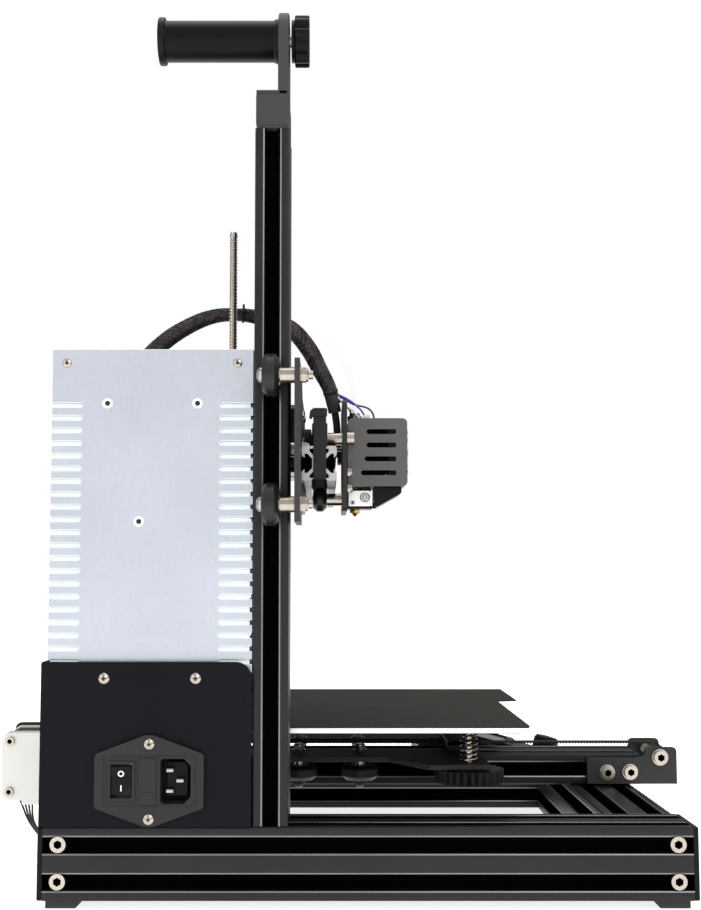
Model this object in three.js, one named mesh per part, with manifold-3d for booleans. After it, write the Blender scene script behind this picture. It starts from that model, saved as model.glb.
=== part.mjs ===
// Open-frame filament printer with one upright and a cantilevered X beam.
// Millimetres, +X right, +Y back, +Z up. Everything is drawn about the middle of
// the base and the whole group is then moved so that its box stands on the origin.
import * as THREE from 'three';
import { mergeVertices } from 'three/addons/utils/BufferGeometryUtils.js';
import Module from 'manifold-3d';

const wasm = await Module();
wasm.setup();

// ---------- driving dimensions ----------
const GAP = 0.3;                    // running gap between neighbouring pieces
const CELL = 20;                    // pitch of the slotted profiles
const FOOT_TOP = 4.7;
const BASE_BOTTOM = 5;
const BASE_TOP = BASE_BOTTOM + 2 * CELL;
const BASE_HALF_X = 160;
const BASE_HALF_Y = 179;            // without the plastic end caps
const CROSS_SETBACK = 1;            // cross profiles end this far inside the side profiles
const UPRIGHT_Y = 53.9;
const UPRIGHT_TOP = 439.6;
const CAP_TOP = 459.8;
const WHEEL_RADIUS = 12;
const WHEEL_OFFSET = 10.5;          // wheel centre to the profile face it rolls on
const MINI_RADIUS = 7.6;
const MINI_OFFSET = 6.2;
const AXLE_RADIUS = 2.4;
const BORE_RADIUS = 2.8;
const BELT_OUTER = 7.6;
const BELT_INNER = 6.4;
const PULLEY_RADIUS = 6.1;
const MOTOR = 42;

const BEAM = { y: 27, z: 246.5, x0: -150, x1: 172 };          // X beam
const CARRIAGE_X = -62;
const X_BELT = { z: 266.5, motor: -75, idler: 163, y0: 32.3, y1: 36.9 };
const Y_BELT = { z: 63.4, motor: 205.3, idler: -195.8, half: 3 };
const SCREW = { x: -123.5, y: 78.5, radius: 2.4, top: 388 };
const POSTS = { x: 85, front: -64, rear: 106 };
const Z_WHEELS = { outer_high: 294.3, outer_low: 222, inner: 258 };

// ---------- finishes ----------
const finish = (color, roughness, metalness) =>
  new THREE.MeshStandardMaterial({ color, roughness, metalness });
const ANODISED = finish(0x1c1c1d, 0.38, 0.7);
const SHEET_BLACK = finish(0x17181a, 0.5, 0.4);
const PLASTIC = finish(0x1b1b1c, 0.55, 0);
const GREY_PLASTIC = finish(0x4d4d4e, 0.6, 0);
const STEEL = finish(0xb4b4b2, 0.3, 1);
const ALUMINIUM = finish(0xd2d6da, 0.35, 0.9);
const BRASS = finish(0xc79a3f, 0.3, 1);
const RUBBER = finish(0x101010, 0.8, 0);

// ---------- shape helpers ----------
const block = (x, y, z) =>
  new THREE.BoxGeometry(x[1] - x[0], y[1] - y[0], z[1] - z[0])
    .translate((x[0] + x[1]) / 2, (y[0] + y[1]) / 2, (z[0] + z[1]) / 2);

// Moves a solid drawn along Z so that it lies along the named axis.
// Its section coordinates become (y, z) for X and (x, z) for Y.
function lay(geometry, axis) {
  const basis = {
    X: [new THREE.Vector3(0, 1, 0), new THREE.Vector3(0, 0, 1), new THREE.Vector3(1, 0, 0)],
    Y: [new THREE.Vector3(0, 0, 1), new THREE.Vector3(1, 0, 0), new THREE.Vector3(0, 1, 0)],
  }[axis];
  return basis ? geometry.applyMatrix4(new THREE.Matrix4().makeBasis(...basis)) : geometry;
}
const section = (axis, points) => points.map(([a, b]) => (axis === 'Y' ? [b, a] : [a, b]));

function prism(axis, outline, from, to, holes = []) {
  const path = (points) => {
    const loop2d = section(axis, points).map(([a, b]) => new THREE.Vector2(a, b));
    return THREE.ShapeUtils.isClockWise(loop2d) ? loop2d.reverse() : loop2d;
  };
  const shape = new THREE.Shape(path(outline));
  shape.holes = holes.map((hole) => new THREE.Path(path(hole)));
  const solid = new THREE.ExtrudeGeometry(shape, { depth: to - from, bevelEnabled: false, curveSegments: 8 });
  return lay(solid.translate(0, 0, from), axis);
}

const ring = (a, b, radius, sides) => Array.from({ length: sides }, (_, i) => {
  const angle = (2 * Math.PI * i) / sides;
  return [a + radius * Math.cos(angle), b + radius * Math.sin(angle)];
});
const rod = (axis, a, b, radius, from, to, sides = 20) => prism(axis, ring(a, b, radius, sides), from, to);
const tube = (axis, a, b, radius, bore, from, to, sides = 28) =>
  prism(axis, ring(a, b, radius, sides), from, to, [ring(a, b, bore, sides)]);

// A rectangle with rounded corners, given by its two ranges.
function rounded([a0, a1], [b0, b1], radius, steps = 4) {
  const corners = [[a1 - radius, b0 + radius, -90], [a1 - radius, b1 - radius, 0],
    [a0 + radius, b1 - radius, 90], [a0 + radius, b0 + radius, 180]];
  return corners.flatMap(([a, b, start]) => Array.from({ length: steps + 1 }, (_, i) => {
    const angle = THREE.MathUtils.degToRad(start + (90 * i) / steps);
    return [a + radius * Math.cos(angle), b + radius * Math.sin(angle)];
  }));
}

function toManifold(geometry) {
  const bare = geometry.clone();
  bare.deleteAttribute('normal');
  bare.deleteAttribute('uv');
  const merged = mergeVertices(bare, 1e-4);
  return new wasm.Manifold(new wasm.Mesh({
    numProp: 3,
    vertProperties: new Float32Array(merged.attributes.position.array),
    triVerts: new Uint32Array(merged.index.array),
  }));
}
function toGeometry(manifold) {
  const mesh = manifold.getMesh();
  const geometry = new THREE.BufferGeometry();
  geometry.setAttribute('position', new THREE.BufferAttribute(new Float32Array(mesh.vertProperties), 3));
  geometry.setIndex(new THREE.BufferAttribute(new Uint32Array(mesh.triVerts), 1));
  geometry.computeVertexNormals();
  return geometry;
}
const join = (...parts) => toGeometry(parts.map(toManifold).reduce((sum, part) => sum.add(part)));
const cut = (body, ...tools) =>
  toGeometry(tools.map(toManifold).reduce((rest, tool) => rest.subtract(tool), toManifold(body)));

// ---------- the assembly ----------
const printer = new THREE.Group();
function add(name, material, geometry) {
  const mesh = new THREE.Mesh(geometry, material);
  mesh.name = name;
  printer.add(mesh);
  return mesh;
}

// ---------- slotted profiles ----------
// Outline of a slotted profile of m by n cells about its own centre.
const SLOT = [[-4.6, 0], [-3.1, 1.6], [-5.5, 1.6], [-5.5, 3.2], [-2.7, 6],
  [2.7, 6], [5.5, 3.2], [5.5, 1.6], [3.1, 1.6], [4.6, 0]];
const EDGE = 1.2;                   // corner break of a profile
function profile(m, n, a0 = 0, b0 = 0) {
  const half = [(m * CELL) / 2, (n * CELL) / 2];
  const sides = [
    { cells: m, along: [1, 0], inward: [0, 1], start: [-half[0], -half[1]] },
    { cells: n, along: [0, 1], inward: [-1, 0], start: [half[0], -half[1]] },
    { cells: m, along: [-1, 0], inward: [0, -1], start: [half[0], half[1]] },
    { cells: n, along: [0, -1], inward: [1, 0], start: [-half[0], half[1]] },
  ];
  return sides.flatMap(({ cells, along, inward, start }) => {
    const place = (s, d) => [a0 + start[0] + along[0] * s + inward[0] * d,
      b0 + start[1] + along[1] * s + inward[1] * d];
    const slots = Array.from({ length: cells }, (_, i) =>
      SLOT.map(([s, d]) => place((i + 0.5) * CELL + s, d))).flat();
    return [place(EDGE, 0), ...slots, place(cells * CELL - EDGE, 0)];
  });
}

// ---------- base frame ----------
function addBase() {
  const centre = BASE_HALF_X - CELL;
  const middle = (BASE_BOTTOM + BASE_TOP) / 2;
  for (const [side, x] of [['left', -centre], ['right', centre]]) {
    add(`base_${side}`, ANODISED, prism('Y', profile(2, 2, x, middle), -BASE_HALF_Y, BASE_HALF_Y));
  }
  const inner = BASE_HALF_X - 2 * CELL - GAP;
  const crossY = BASE_HALF_Y - CROSS_SETBACK - CELL;
  for (const [end, y] of [['front', -crossY], ['rear', crossY]]) {
    add(`base_${end}`, ANODISED, prism('X', profile(2, 2, y, middle), -inner, inner));
  }
  for (const [side, sx] of [['left', -1], ['right', 1]]) {
    for (const [end, sy] of [['front', -1], ['rear', 1]]) {
      const outline = [[178, 0], [178, FOOT_TOP], [157, FOOT_TOP], [161, 0]].map(([y, z]) => [sy * y, z]);
      if (sy > 0) outline.reverse();
      const reach = [125, 155].map((x) => sx * x).sort((a, b) => a - b);
      add(`foot_${end}_${side}`, RUBBER, prism('X', outline, ...reach));
    }
  }
}

// ---------- Y axis: beam, belt, tensioner and motor ----------
const loop = (a0, a1, b, radius, steps = 10) => [[a1, -90], [a0, 90]].flatMap(([a, start]) =>
  Array.from({ length: steps + 1 }, (_, i) => {
    const angle = THREE.MathUtils.degToRad(start + (180 * i) / steps);
    return [a + radius * Math.cos(angle), b + radius * Math.sin(angle)];
  }));

function addYAxis() {
  const beamBottom = BASE_TOP + GAP;
  const beam = prism('Y', profile(2, 1, 0, beamBottom + CELL / 2), -183, 180);
  const beltTunnel = block([-3.8, 3.8], [-190, 190], [beamBottom + 4.5, beamBottom + 15.5]);
  add('y_beam', ANODISED, cut(beam, beltTunnel));

  const { z, motor, idler, half } = Y_BELT;
  const outer = loop(idler, motor, z, BELT_OUTER);
  add('y_belt', RUBBER, prism('X', outer, -half, half, [loop(idler, motor, z, BELT_INNER)]));

  const cheek = [[-148, 46.2], [-148, 63], [-181, 64.8], [-186, 70], [-206.8, 70], [-206.8, 46.2]].reverse();
  const web = block([-24, 24], [-206.8, -204.6], [46.2, 66]);
  const axle = rod('X', idler, z, AXLE_RADIUS, -25, 25);
  const cheeks = [prism('X', cheek, -24, -20.5), prism('X', cheek, 20.5, 24)];
  add('y_tensioner', SHEET_BLACK, join(...cheeks, web, axle));
  add('y_idler', STEEL, tube('X', idler, z, PULLEY_RADIUS, BORE_RADIUS, -5, 5));

  const plate = block([-24.2, -20.4], [140, 227], [46, 86]);
  add('y_motor_bracket', SHEET_BLACK, cut(plate, rod('X', motor, z, 11.3, -30, -10, 28)));
  add('y_motor', ALUMINIUM, prism('X', rounded([motor - MOTOR / 2, motor + MOTOR / 2],
    [z - MOTOR / 2, z + MOTOR / 2], 3, 2), -64.5, -24.5));
  add('y_pulley', STEEL, join(rod('X', motor, z, AXLE_RADIUS, -24.1, 6), rod('X', motor, z, PULLEY_RADIUS, -5, 6, 28)));
}

// ---------- upright and spool holder ----------
const SPOOL = { x: -138, z: 500, radius: 12.2 };
function addUpright() {
  const x = -BASE_HALF_X + CELL;
  add('upright', ANODISED, prism('Z', profile(2, 1, x, UPRIGHT_Y), BASE_TOP + GAP, UPRIGHT_TOP));
  const cap = prism('Z', rounded([-160.4, -119.6], [44.3, 63.5], 1), UPRIGHT_TOP + GAP, CAP_TOP);
  add('upright_cap', GREY_PLASTIC, cap);

  const bottom = CAP_TOP + GAP;
  const top = Array.from({ length: 13 }, (_, i) => {
    const angle = (Math.PI * i) / 12;
    return [SPOOL.x + 20 * Math.cos(angle), 496 + 20 * Math.sin(angle)];
  });
  const blade = prism('Y', [[-158, bottom], [-118, bottom], ...top], 44.8, 51);
  const foot = block([-158, -118], [44.8, 63.5], [bottom, bottom + 3]);
  const pin = rod('Y', SPOOL.x, SPOOL.z, 4, 40, 44.9);
  add('spool_arm', PLASTIC, join(blade, foot, pin));
  const barrel = rod('Y', SPOOL.x, SPOOL.z, SPOOL.radius, 51 + GAP, 119, 36);
  const rim = rod('Y', SPOOL.x, SPOOL.z, 14, 118.8, 122.3, 36);
  add('spool_tube', PLASTIC, cut(join(barrel, rim), rod('Y', SPOOL.x, SPOOL.z, 10, 54, 130, 36)));
  add('spool_knob', PLASTIC, cut(prism('Y', fluted(SPOOL.x, SPOOL.z, 15, 1.2, 12), 32.8, 43.5),
    rod('Y', SPOOL.x, SPOOL.z, 4 + GAP, 36, 44)));
}

// A round outline with shallow flutes.
const fluted = (a, b, radius, depth, count) => Array.from({ length: count * 4 }, (_, i) => {
  const angle = (2 * Math.PI * i) / (count * 4);
  const r = radius - depth * (0.5 - 0.5 * Math.cos(count * angle)) ** 2;
  return [a + r * Math.cos(angle), b + r * Math.sin(angle)];
});

// ---------- power supply, its cover and the mains inlet ----------
const PSU = { x0: -158, x1: -128, y0: 64.4, y1: 178.7, z0: 96, z1: 311, wall: 1.2 };
const VENT = { first: 278.9, pitch: 7.2, rows: 19, height: 2.4 };
const COVER = { x0: -162.3, x1: -160.3, y0: 64.3, y1: 181, top: 135, corner: 9 };
const INLET = { y: 120.2, z0: 46, z1: 95.3, x0: -165.2 };
const ROCKER = { y: 135.3, z: 70.6, half_y: 5.7, half_z: 8, pivot_x: -160 };

function addPower() {
  const { x0, x1, y0, y1, z0, z1, wall } = PSU;
  const inside = block([x0 + wall, x1 - wall], [y0 + wall, y1 - wall], [z0 - 5, z1 - wall]);
  const vents = [];
  for (let row = 0; row < VENT.rows; row += 1) {
    const z = VENT.first - row * VENT.pitch;
    for (const y of [[67, 84.5], [159.5, 176]]) {
      vents.push(prism('X', rounded(y, [z - VENT.height / 2, z + VENT.height / 2], 1, 1), x0 - 1, x0 + 3));
    }
  }
  add('psu_case', ALUMINIUM, cut(block([x0, x1], [y0, y1], [z0, z1]), inside, ...vents));

  const { top, corner } = COVER;
  const round = Array.from({ length: 7 }, (_, i) => {
    const angle = THREE.MathUtils.degToRad(90 + 15 * i);
    return [COVER.y0 + corner + corner * Math.cos(angle), top - corner + corner * Math.sin(angle)];
  });
  const foot = BASE_TOP + GAP;
  const face = prism('X', [[COVER.y0, foot], [COVER.y1, foot], [COVER.y1, top], ...round], COVER.x0, COVER.x1);
  const rear = block([COVER.x1 - 0.1, -125], [COVER.y1 - 2, COVER.y1], [foot, top]);
  const floor = block([COVER.x1 - 0.1, -125], [COVER.y0, COVER.y1], [foot, foot + 2]);
  add('psu_cover', SHEET_BLACK, cut(join(face, rear, floor), block([-170, -150], [93, 147.4], [56, 86])));

  const flange = [[150.2, 55], [150.2, 86], [137, INLET.z1], [103.4, INLET.z1],
    [90.2, 86], [90.2, 55], [103.4, INLET.z0], [137, INLET.z0]];
  const plate = prism('X', flange, INLET.x0, COVER.x0 - GAP);
  const body = block([COVER.x0 - GAP - 0.1, -136], [93.6, 146.8], [56.6, 85.4]);
  const rockerHole = block([-170, -145], [ROCKER.y - 6.4, ROCKER.y + 6.4], [ROCKER.z - 9.6, ROCKER.z + 9.6]);
  const socket = [[114, 58], [114, 82.6], [101, 82.6], [97.2, 78.6], [97.2, 62], [101, 58]];
  const shell = cut(join(plate, body), rockerHole, prism('X', socket, -170, -147));
  const pins = [[110, 76], [103, 70.3], [110, 64.6]].map(([y, z]) => block([-158, -146.8], [y - 2, y + 2], [z - 1, z + 1]));
  const drawer = block([INLET.x0 - 1, INLET.x0 + 0.1], [116.3, 125.6], [57.5, 83]);
  add('power_inlet', PLASTIC, join(shell, drawer, ...pins));

  const wedge = [[-167.2, ROCKER.z + ROCKER.half_z], [-165.2, ROCKER.z], [-165.8, ROCKER.z - ROCKER.half_z],
    [-158, ROCKER.z - ROCKER.half_z], [-158, ROCKER.z + ROCKER.half_z]];
  add('rocker_switch', PLASTIC, prism('Y', wedge.reverse(), ROCKER.y - ROCKER.half_y, ROCKER.y + ROCKER.half_y));
}

// ---------- Z drive ----------
function addZDrive() {
  const floor = BASE_TOP + GAP + 2 + GAP;
  add('z_motor', SHEET_BLACK, block([SCREW.x - 14, SCREW.x + 14], [64.5, 92.5], [floor, 80]));
  add('leadscrew', STEEL, rod('Z', SCREW.x, SCREW.y, SCREW.radius, 80 + GAP, SCREW.top, 16));
}

// ---------- wheels ----------
// A V wheel about its own axle, drawn along Z and laid along the given axis.
function wheel(name, axis, a, b, middle, mini = false) {
  const size = mini
    ? { rim: MINI_RADIUS, shoulder: 5.6, half: 4.3, tip: 2.2 }
    : { rim: WHEEL_RADIUS, shoulder: 9.7, half: 4.8, tip: 2.7 };
  const points = [[BORE_RADIUS, -size.half], [size.shoulder, -size.half], [size.rim, -size.tip],
    [size.rim, size.tip], [size.shoulder, size.half], [BORE_RADIUS, size.half], [BORE_RADIUS, -size.half]];
  const lathe = new THREE.LatheGeometry(points.map(([r, h]) => new THREE.Vector2(r, h)), 20);
  const turned = lathe.rotateX(Math.PI / 2);
  const [u, v] = axis === 'Y' ? [b, a] : [a, b];
  add(name, RUBBER, lay(toGeometry(toManifold(turned)).translate(u, v, middle), axis));
}

// ---------- Z carriage with the X beam ----------
const PLATE = { y0: 37.4, y1: 40.4 };
const OUTER_X = -BASE_HALF_X - WHEEL_OFFSET;
const INNER_X = -BASE_HALF_X + 2 * CELL + WHEEL_OFFSET;

function addGantry() {
  const outline = [[-184, 212], [-122, 212], [-122, 223], [-8, 223], [-8, 290], [-100, 290], [-122, 302], [-184, 302]];
  const axle = (x, z, front) => [
    rod('Y', x, z, 4.5, PLATE.y1 - 0.1, UPRIGHT_Y - 5.2, 18),
    rod('Y', x, z, AXLE_RADIUS, PLATE.y1 - 0.1, 62.5, 16),
    rod('Y', x, z, 4.4, 59.2, 62.5, 16),
    ...(front ? [rod('Y', x, z, 4.6, 33, PLATE.y0 + 0.1, 6), rod('Y', x, z, AXLE_RADIUS, 30, 34, 16)] : []),
  ];
  const nutArm = cut(block([-127.6, -101], [PLATE.y1 - 0.1, 88], [225, 233]),
    block([-140, -119.6], [40, 70], [220, 240]), rod('Z', SCREW.x, SCREW.y, SCREW.radius + 0.5, 220, 240));
  const plate = join(prism('Y', outline, PLATE.y0, PLATE.y1), nutArm,
    ...axle(OUTER_X, Z_WHEELS.outer_high, true), ...axle(OUTER_X, Z_WHEELS.outer_low, true),
    ...axle(INNER_X, Z_WHEELS.inner, false));
  add('z_plate', SHEET_BLACK, cut(plate, rod('Y', X_BELT.motor, X_BELT.z, 3.2, 30, 45)));
  wheel('z_wheel_high', 'Y', OUTER_X, Z_WHEELS.outer_high, UPRIGHT_Y);
  wheel('z_wheel_low', 'Y', OUTER_X, Z_WHEELS.outer_low, UPRIGHT_Y);
  wheel('z_wheel_inner', 'Y', INNER_X, Z_WHEELS.inner, UPRIGHT_Y);

  const beam = prism('X', profile(1, 1, BEAM.y, BEAM.z), BEAM.x0, BEAM.x1, [ring(BEAM.y, BEAM.z, 2.1, 12)]);
  const rear = BEAM.y + CELL / 2;
  const { z, motor, idler, y0, y1 } = X_BELT;
  add('x_beam', ANODISED, join(beam, block([150, BEAM.x1], [rear - 0.1, rear + 3.4], [238, 276]),
    rod('Y', idler, z, AXLE_RADIUS, 29, rear + 1), rod('Y', idler, z, 4.6, 29, 32)));
  add('x_idler', STEEL, tube('Y', idler, z, PULLEY_RADIUS, BORE_RADIUS, y0, y1));
  add('x_pulley', STEEL, join(rod('Y', motor, z, PULLEY_RADIUS, y0, y1, 28),
    rod('Y', motor, z, AXLE_RADIUS, y1 - 0.1, PLATE.y1)));
  add('x_belt', RUBBER, prism('Y', loop(motor, idler, z, BELT_OUTER), y0, y1, [loop(motor, idler, z, BELT_INNER)]));
  const motorSection = (x) => rounded([x - MOTOR / 2, x + MOTOR / 2], [z - MOTOR / 2, z + MOTOR / 2], 3, 2);
  add('x_motor', SHEET_BLACK, prism('Y', motorSection(motor), PLATE.y1 + GAP, 78.7));

  add('extruder_motor', SHEET_BLACK, prism('Y', motorSection(-31), PLATE.y1 + GAP, 74.7));
  const guide = block([-37, -25], [79.9, 90], [250, 272]);
  const filament = rod('Z', -31, 85, 1.5, 240, 280, 12);
  const pivot = rod('Y', -16, 281, AXLE_RADIUS, 79.9, 91, 16);
  const base = block([-50, -12], [75, 80], [247, 287]);
  add('extruder_body', SHEET_BLACK, join(base, cut(guide, filament), pivot));
  const lever = cut(block([-56, -11], [80 + GAP, 90], [276, 286]), rod('Y', -16, 281, BORE_RADIUS, 70, 100),
    rod('Z', -31, 85, 3.2, 260, 300, 12));
  add('extruder_lever', SHEET_BLACK, lever);
}

// ---------- X carriage with the hot end ----------
const HEAD = { x: CARRIAGE_X - 3, y: 4.8 };
function addCarriage() {
  const wheels = [
    ['x_wheel_left', CARRIAGE_X - 22, BEAM.z + CELL / 2 + WHEEL_OFFSET, false],
    ['x_wheel_right', CARRIAGE_X + 22, BEAM.z + CELL / 2 + WHEEL_OFFSET, false],
    ['x_wheel_low', CARRIAGE_X, BEAM.z - CELL / 2 - MINI_OFFSET, true],
  ];
  const axles = wheels.flatMap(([, x, z, mini]) => [
    rod('Y', x, z, 3.8, 12.9, BEAM.y - (mini ? 4.7 : 5.2), 18),
    rod('Y', x, z, AXLE_RADIUS, 12.9, BEAM.y + 4.9, 16),
  ]);
  const arm = block([CARRIAGE_X + 36, CARRIAGE_X + 44], [12.9, X_BELT.y1], [260.7, 266]);
  const outline = rounded([CARRIAGE_X - 30, CARRIAGE_X + 46], [222, 291], 4);
  add('x_plate', SHEET_BLACK, join(prism('Y', outline, 10, 13), arm, ...axles));
  for (const [name, x, z, mini] of wheels) wheel(name, 'Y', x, z, BEAM.y, mini);

  const x = [HEAD.x - 20, HEAD.x + 20];
  const skin = 1.6;
  const shroud = prism('X', rounded([-27.5, 9.6], [237.6, 280], 2.5), ...x);
  const inside = block([x[0] + skin, x[1] - skin], [-27.5 + skin, 20], [237.6 + skin, 280 - skin]);
  const louvres = [[271.6, -2.2], [263.2, -2.2], [254.6, -0.9], [245.9, 1.3]].map(([z, y]) =>
    prism('X', rounded([-20.6, y], [z - 1.5, z + 1.5], 1.4, 3), x[0] - 5, x[1] + 5));
  const fanHole = rod('Y', HEAD.x, 259, 16, -40, -20, 32);
  const tubeHole = rod('Z', HEAD.x, HEAD.y, 4, 230, 290);
  add('fan_shroud', GREY_PLASTIC, cut(shroud, inside, ...louvres, fanHole, tubeHole));

  const fins = Array.from({ length: 5 }, (_, i) => block([x[0] + 7, x[1] - 7], [-12, 9], [242 + i * 5.4, 244.4 + i * 5.4]));
  const core = block([x[0] + 12, x[1] - 12], [-6, 8.8], [241.9, 266]);
  const neck = rod('Z', HEAD.x, HEAD.y, 2.5, 235.4, 243);
  const heater = block([HEAD.x - 10, HEAD.x + 10], [-6.2, 9.4], [224, 235.5]);
  add('hot_end', ALUMINIUM, join(core, ...fins, cut(join(heater, neck), rod('X', -2.4, 231, 3.1, -90, -72))));
  const tip = [[0, 219.5], [0.5, 219.5], [2.2, 221.3], [3.6, 221.3], [3.6, 223.7], [0, 223.7]];
  const nozzle = new THREE.LatheGeometry(tip.map(([r, h]) => new THREE.Vector2(r, h)), 6).rotateX(Math.PI / 2);
  add('nozzle', BRASS, nozzle.translate(HEAD.x, HEAD.y, 0));

  const duct = [[-6.8, 237.2], [-24, 237.2], [-24, 233.5], [-9, 225.2], [-6.8, 225.2]];
  const channel = [[-8.2, 240], [-22.6, 240], [-22.6, 234.2], [-8.2, 226.2]];
  add('cooling_duct', PLASTIC, cut(prism('X', duct, HEAD.x - 15, HEAD.x + 15), prism('X', channel, HEAD.x - 13.5, HEAD.x + 13.5),
    block([HEAD.x - 9, HEAD.x + 9], [-10, 0], [226.5, 230])));
}

// ---------- heated bed ----------
function addBed() {
  const { x, front, rear } = POSTS;
  const half = x + 11;
  const plan = [[-half, front - 12], [half, front - 12], [half, front + 37], [62, front + 60], [62, rear - 50],
    [half, rear - 27], [half, rear + 12], [-half, rear + 12], [-half, rear - 27], [-62, rear - 50],
    [-62, front + 60], [-half, front + 37]];
  const posts = [-x, x].flatMap((px) => [front, rear].map((py) => [px, py]));
  const slotX = 25;
  const table = cut(prism('Z', plan, 66, 69), block([-slotX, slotX], [-200, 300], [60, 75]),
    ...posts.map(([px, py]) => rod('Z', px, py, 3, 60, 75)));
  const bridge = (y0, y1) => [block([-slotX - 5, -slotX], [y0, y1], [68.9, 75]),
    block([slotX, slotX + 5], [y0, y1], [68.9, 75]), block([-slotX - 5, slotX + 5], [y0, y1], [72, 75])];
  const wheelX = CELL + WHEEL_OFFSET;
  const axles = [[-wheelX, 40.7], [-wheelX, 1.1]].flatMap(([ax, ay]) => [
    rod('Z', ax, ay, 4, 60.4, 66.1, 16), rod('Z', ax, ay, AXLE_RADIUS, 47, 66.1, 16), rod('Z', ax, ay, 4.4, 68.9, 73, 16),
    rod('Z', ax, ay, 4, 47, 49.8, 6)]);
  add('y_plate', SHEET_BLACK, join(table, ...bridge(front - 12, front + 8), ...bridge(50, 70), ...axles));
  wheel('y_wheel_rear', 'Z', -wheelX, 40.7, BASE_TOP + GAP + CELL / 2);
  wheel('y_wheel_front', 'Z', -wheelX, 1.1, BASE_TOP + GAP + CELL / 2);

  const bedX = 117.5;
  const bed = block([-bedX, bedX], [-96.5, 138.5], [90.3, 93.5]);
  add('bed_plate', ALUMINIUM, join(bed, ...posts.map(([px, py]) => rod('Z', px, py, 2, 57, 90.4, 12))));
  const tab = [[bedX, -110.5], [bedX, 138.5], [-bedX, 138.5], [-bedX, -96.5], [30, -96.5], [34, -110.5]];
  add('build_sheet', SHEET_BLACK, prism('Z', tab, 93.8, 94.8));
  for (const [px, py] of posts) {
    const name = `thumbwheel_${py === front ? 'front' : 'rear'}_${px < 0 ? 'left' : 'right'}`;
    add(name, PLASTIC, cut(prism('Z', fluted(px, py, 21, 1.6, 16), 57.6, 65.6), rod('Z', px, py, 2.4, 50, 70, 16)));
  }
}

// ---------- control box ----------
const SLOPE = { y0: -176, z0: 30, y1: -50, z1: 62 };
function addControls() {
  const x0 = BASE_HALF_X + GAP;
  const side = [[SLOPE.y0, 6], [SLOPE.y1, 6], [SLOPE.y1, SLOPE.z1], [SLOPE.y0, SLOPE.z0]];
  const hollow = [[SLOPE.y0 + 2, 0], [SLOPE.y1 - 2, 0], [SLOPE.y1 - 2, SLOPE.z1 - 2.6], [SLOPE.y0 + 2, SLOPE.z0 - 1.6]];
  add('control_box', PLASTIC, cut(prism('X', side, x0, 245), prism('X', hollow, x0 + 2, 243)));

  const tilt = Math.atan2(SLOPE.z1 - SLOPE.z0, SLOPE.y1 - SLOPE.y0);
  const panel = new THREE.Group();
  panel.position.set(202.6, SLOPE.y0, SLOPE.z0);
  panel.rotation.x = tilt;
  printer.add(panel);
  const onPanel = (name, material, geometry) => panel.add(Object.assign(new THREE.Mesh(geometry, material), { name }));
  onPanel('display', PLASTIC, block([-33, 33], [42, 122], [GAP, 3]));
  onPanel('control_knob', PLASTIC, prism('Z', fluted(-20, 24, 10, 0.6, 18), 0.4, 16));
}

// ---------- wiring loom and filament tube ----------
class Route extends THREE.CatmullRomCurve3 {
  constructor(points) {
    super(points.map((point) => new THREE.Vector3(...point)), false, 'centripetal');
  }
}
const LOOM = [[-121, 148, 255], [-115, 146, 290], [-110, 124, 321], [-108, 106, 334], [-107, 91, 340],
  [-106, 75, 341], [-103, 60, 339], [-97, 45, 334], [-88, 34, 323], [-80, 27, 311], [-74, 21, 300], [-70, 18, 288]];
const FEED = [[-31, 85, 291], [-31, 84, 305], [-33, 76, 325], [-40, 58, 342], [-49, 38, 343], [-57, 20, 330],
  [-62, 9, 312], [-64.5, 5.2, 296], [-65, 4.8, 284], [-65, 4.8, 269]];
function addCables() {
  const tubeAlong = (points, radius, sides, steps) => new THREE.ExtrudeGeometry(
    new THREE.Shape(ring(0, 0, radius, sides).map(([a, b]) => new THREE.Vector2(a, b))),
    { steps, extrudePath: new Route(points), bevelEnabled: false, curveSegments: 1 });
  add('wire_loom', SHEET_BLACK, tubeAlong(LOOM, 3.9, 8, 30));
  add('filament_tube', GREY_PLASTIC, tubeAlong(FEED, 2, 8, 24));
}

addBase();
addYAxis();
addUpright();
addPower();
addZDrive();
addGantry();
addCarriage();
addBed();
addControls();
addCables();

// Stand the model's box on the origin.
const box = new THREE.Box3().setFromObject(printer);
printer.position.set(-(box.min.x + box.max.x) / 2, -(box.min.y + box.max.y) / 2, -box.min.z);

export default printer;
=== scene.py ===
"""Looks of the open-frame filament printer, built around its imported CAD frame.

Pieces are drawn in millimetres from the middle of the base, as the CAD model is, with
+X to the right, +Y to the back and +Z up. Piece.done() moves them into the shared frame.
"""
import math

import bmesh
import bpy
from mathutils import Matrix, Vector
from mathutils.geometry import tessellate_polygon


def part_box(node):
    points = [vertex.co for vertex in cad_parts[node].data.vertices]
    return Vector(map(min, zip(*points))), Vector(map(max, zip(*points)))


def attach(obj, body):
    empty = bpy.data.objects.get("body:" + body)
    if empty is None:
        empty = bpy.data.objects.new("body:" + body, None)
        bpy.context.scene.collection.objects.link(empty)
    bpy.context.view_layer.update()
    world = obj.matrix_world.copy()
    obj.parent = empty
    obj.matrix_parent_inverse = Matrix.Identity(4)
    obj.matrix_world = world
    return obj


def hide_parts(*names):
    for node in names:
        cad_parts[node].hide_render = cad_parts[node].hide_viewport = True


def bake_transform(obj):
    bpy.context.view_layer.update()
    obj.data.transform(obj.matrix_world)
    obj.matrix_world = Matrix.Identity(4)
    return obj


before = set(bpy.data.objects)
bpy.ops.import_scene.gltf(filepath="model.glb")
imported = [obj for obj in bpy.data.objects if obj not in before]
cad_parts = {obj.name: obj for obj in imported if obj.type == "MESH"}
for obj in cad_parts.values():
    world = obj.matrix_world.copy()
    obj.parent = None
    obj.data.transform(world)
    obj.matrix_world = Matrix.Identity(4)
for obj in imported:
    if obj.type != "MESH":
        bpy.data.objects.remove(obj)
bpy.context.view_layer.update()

MM = 0.001
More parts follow.
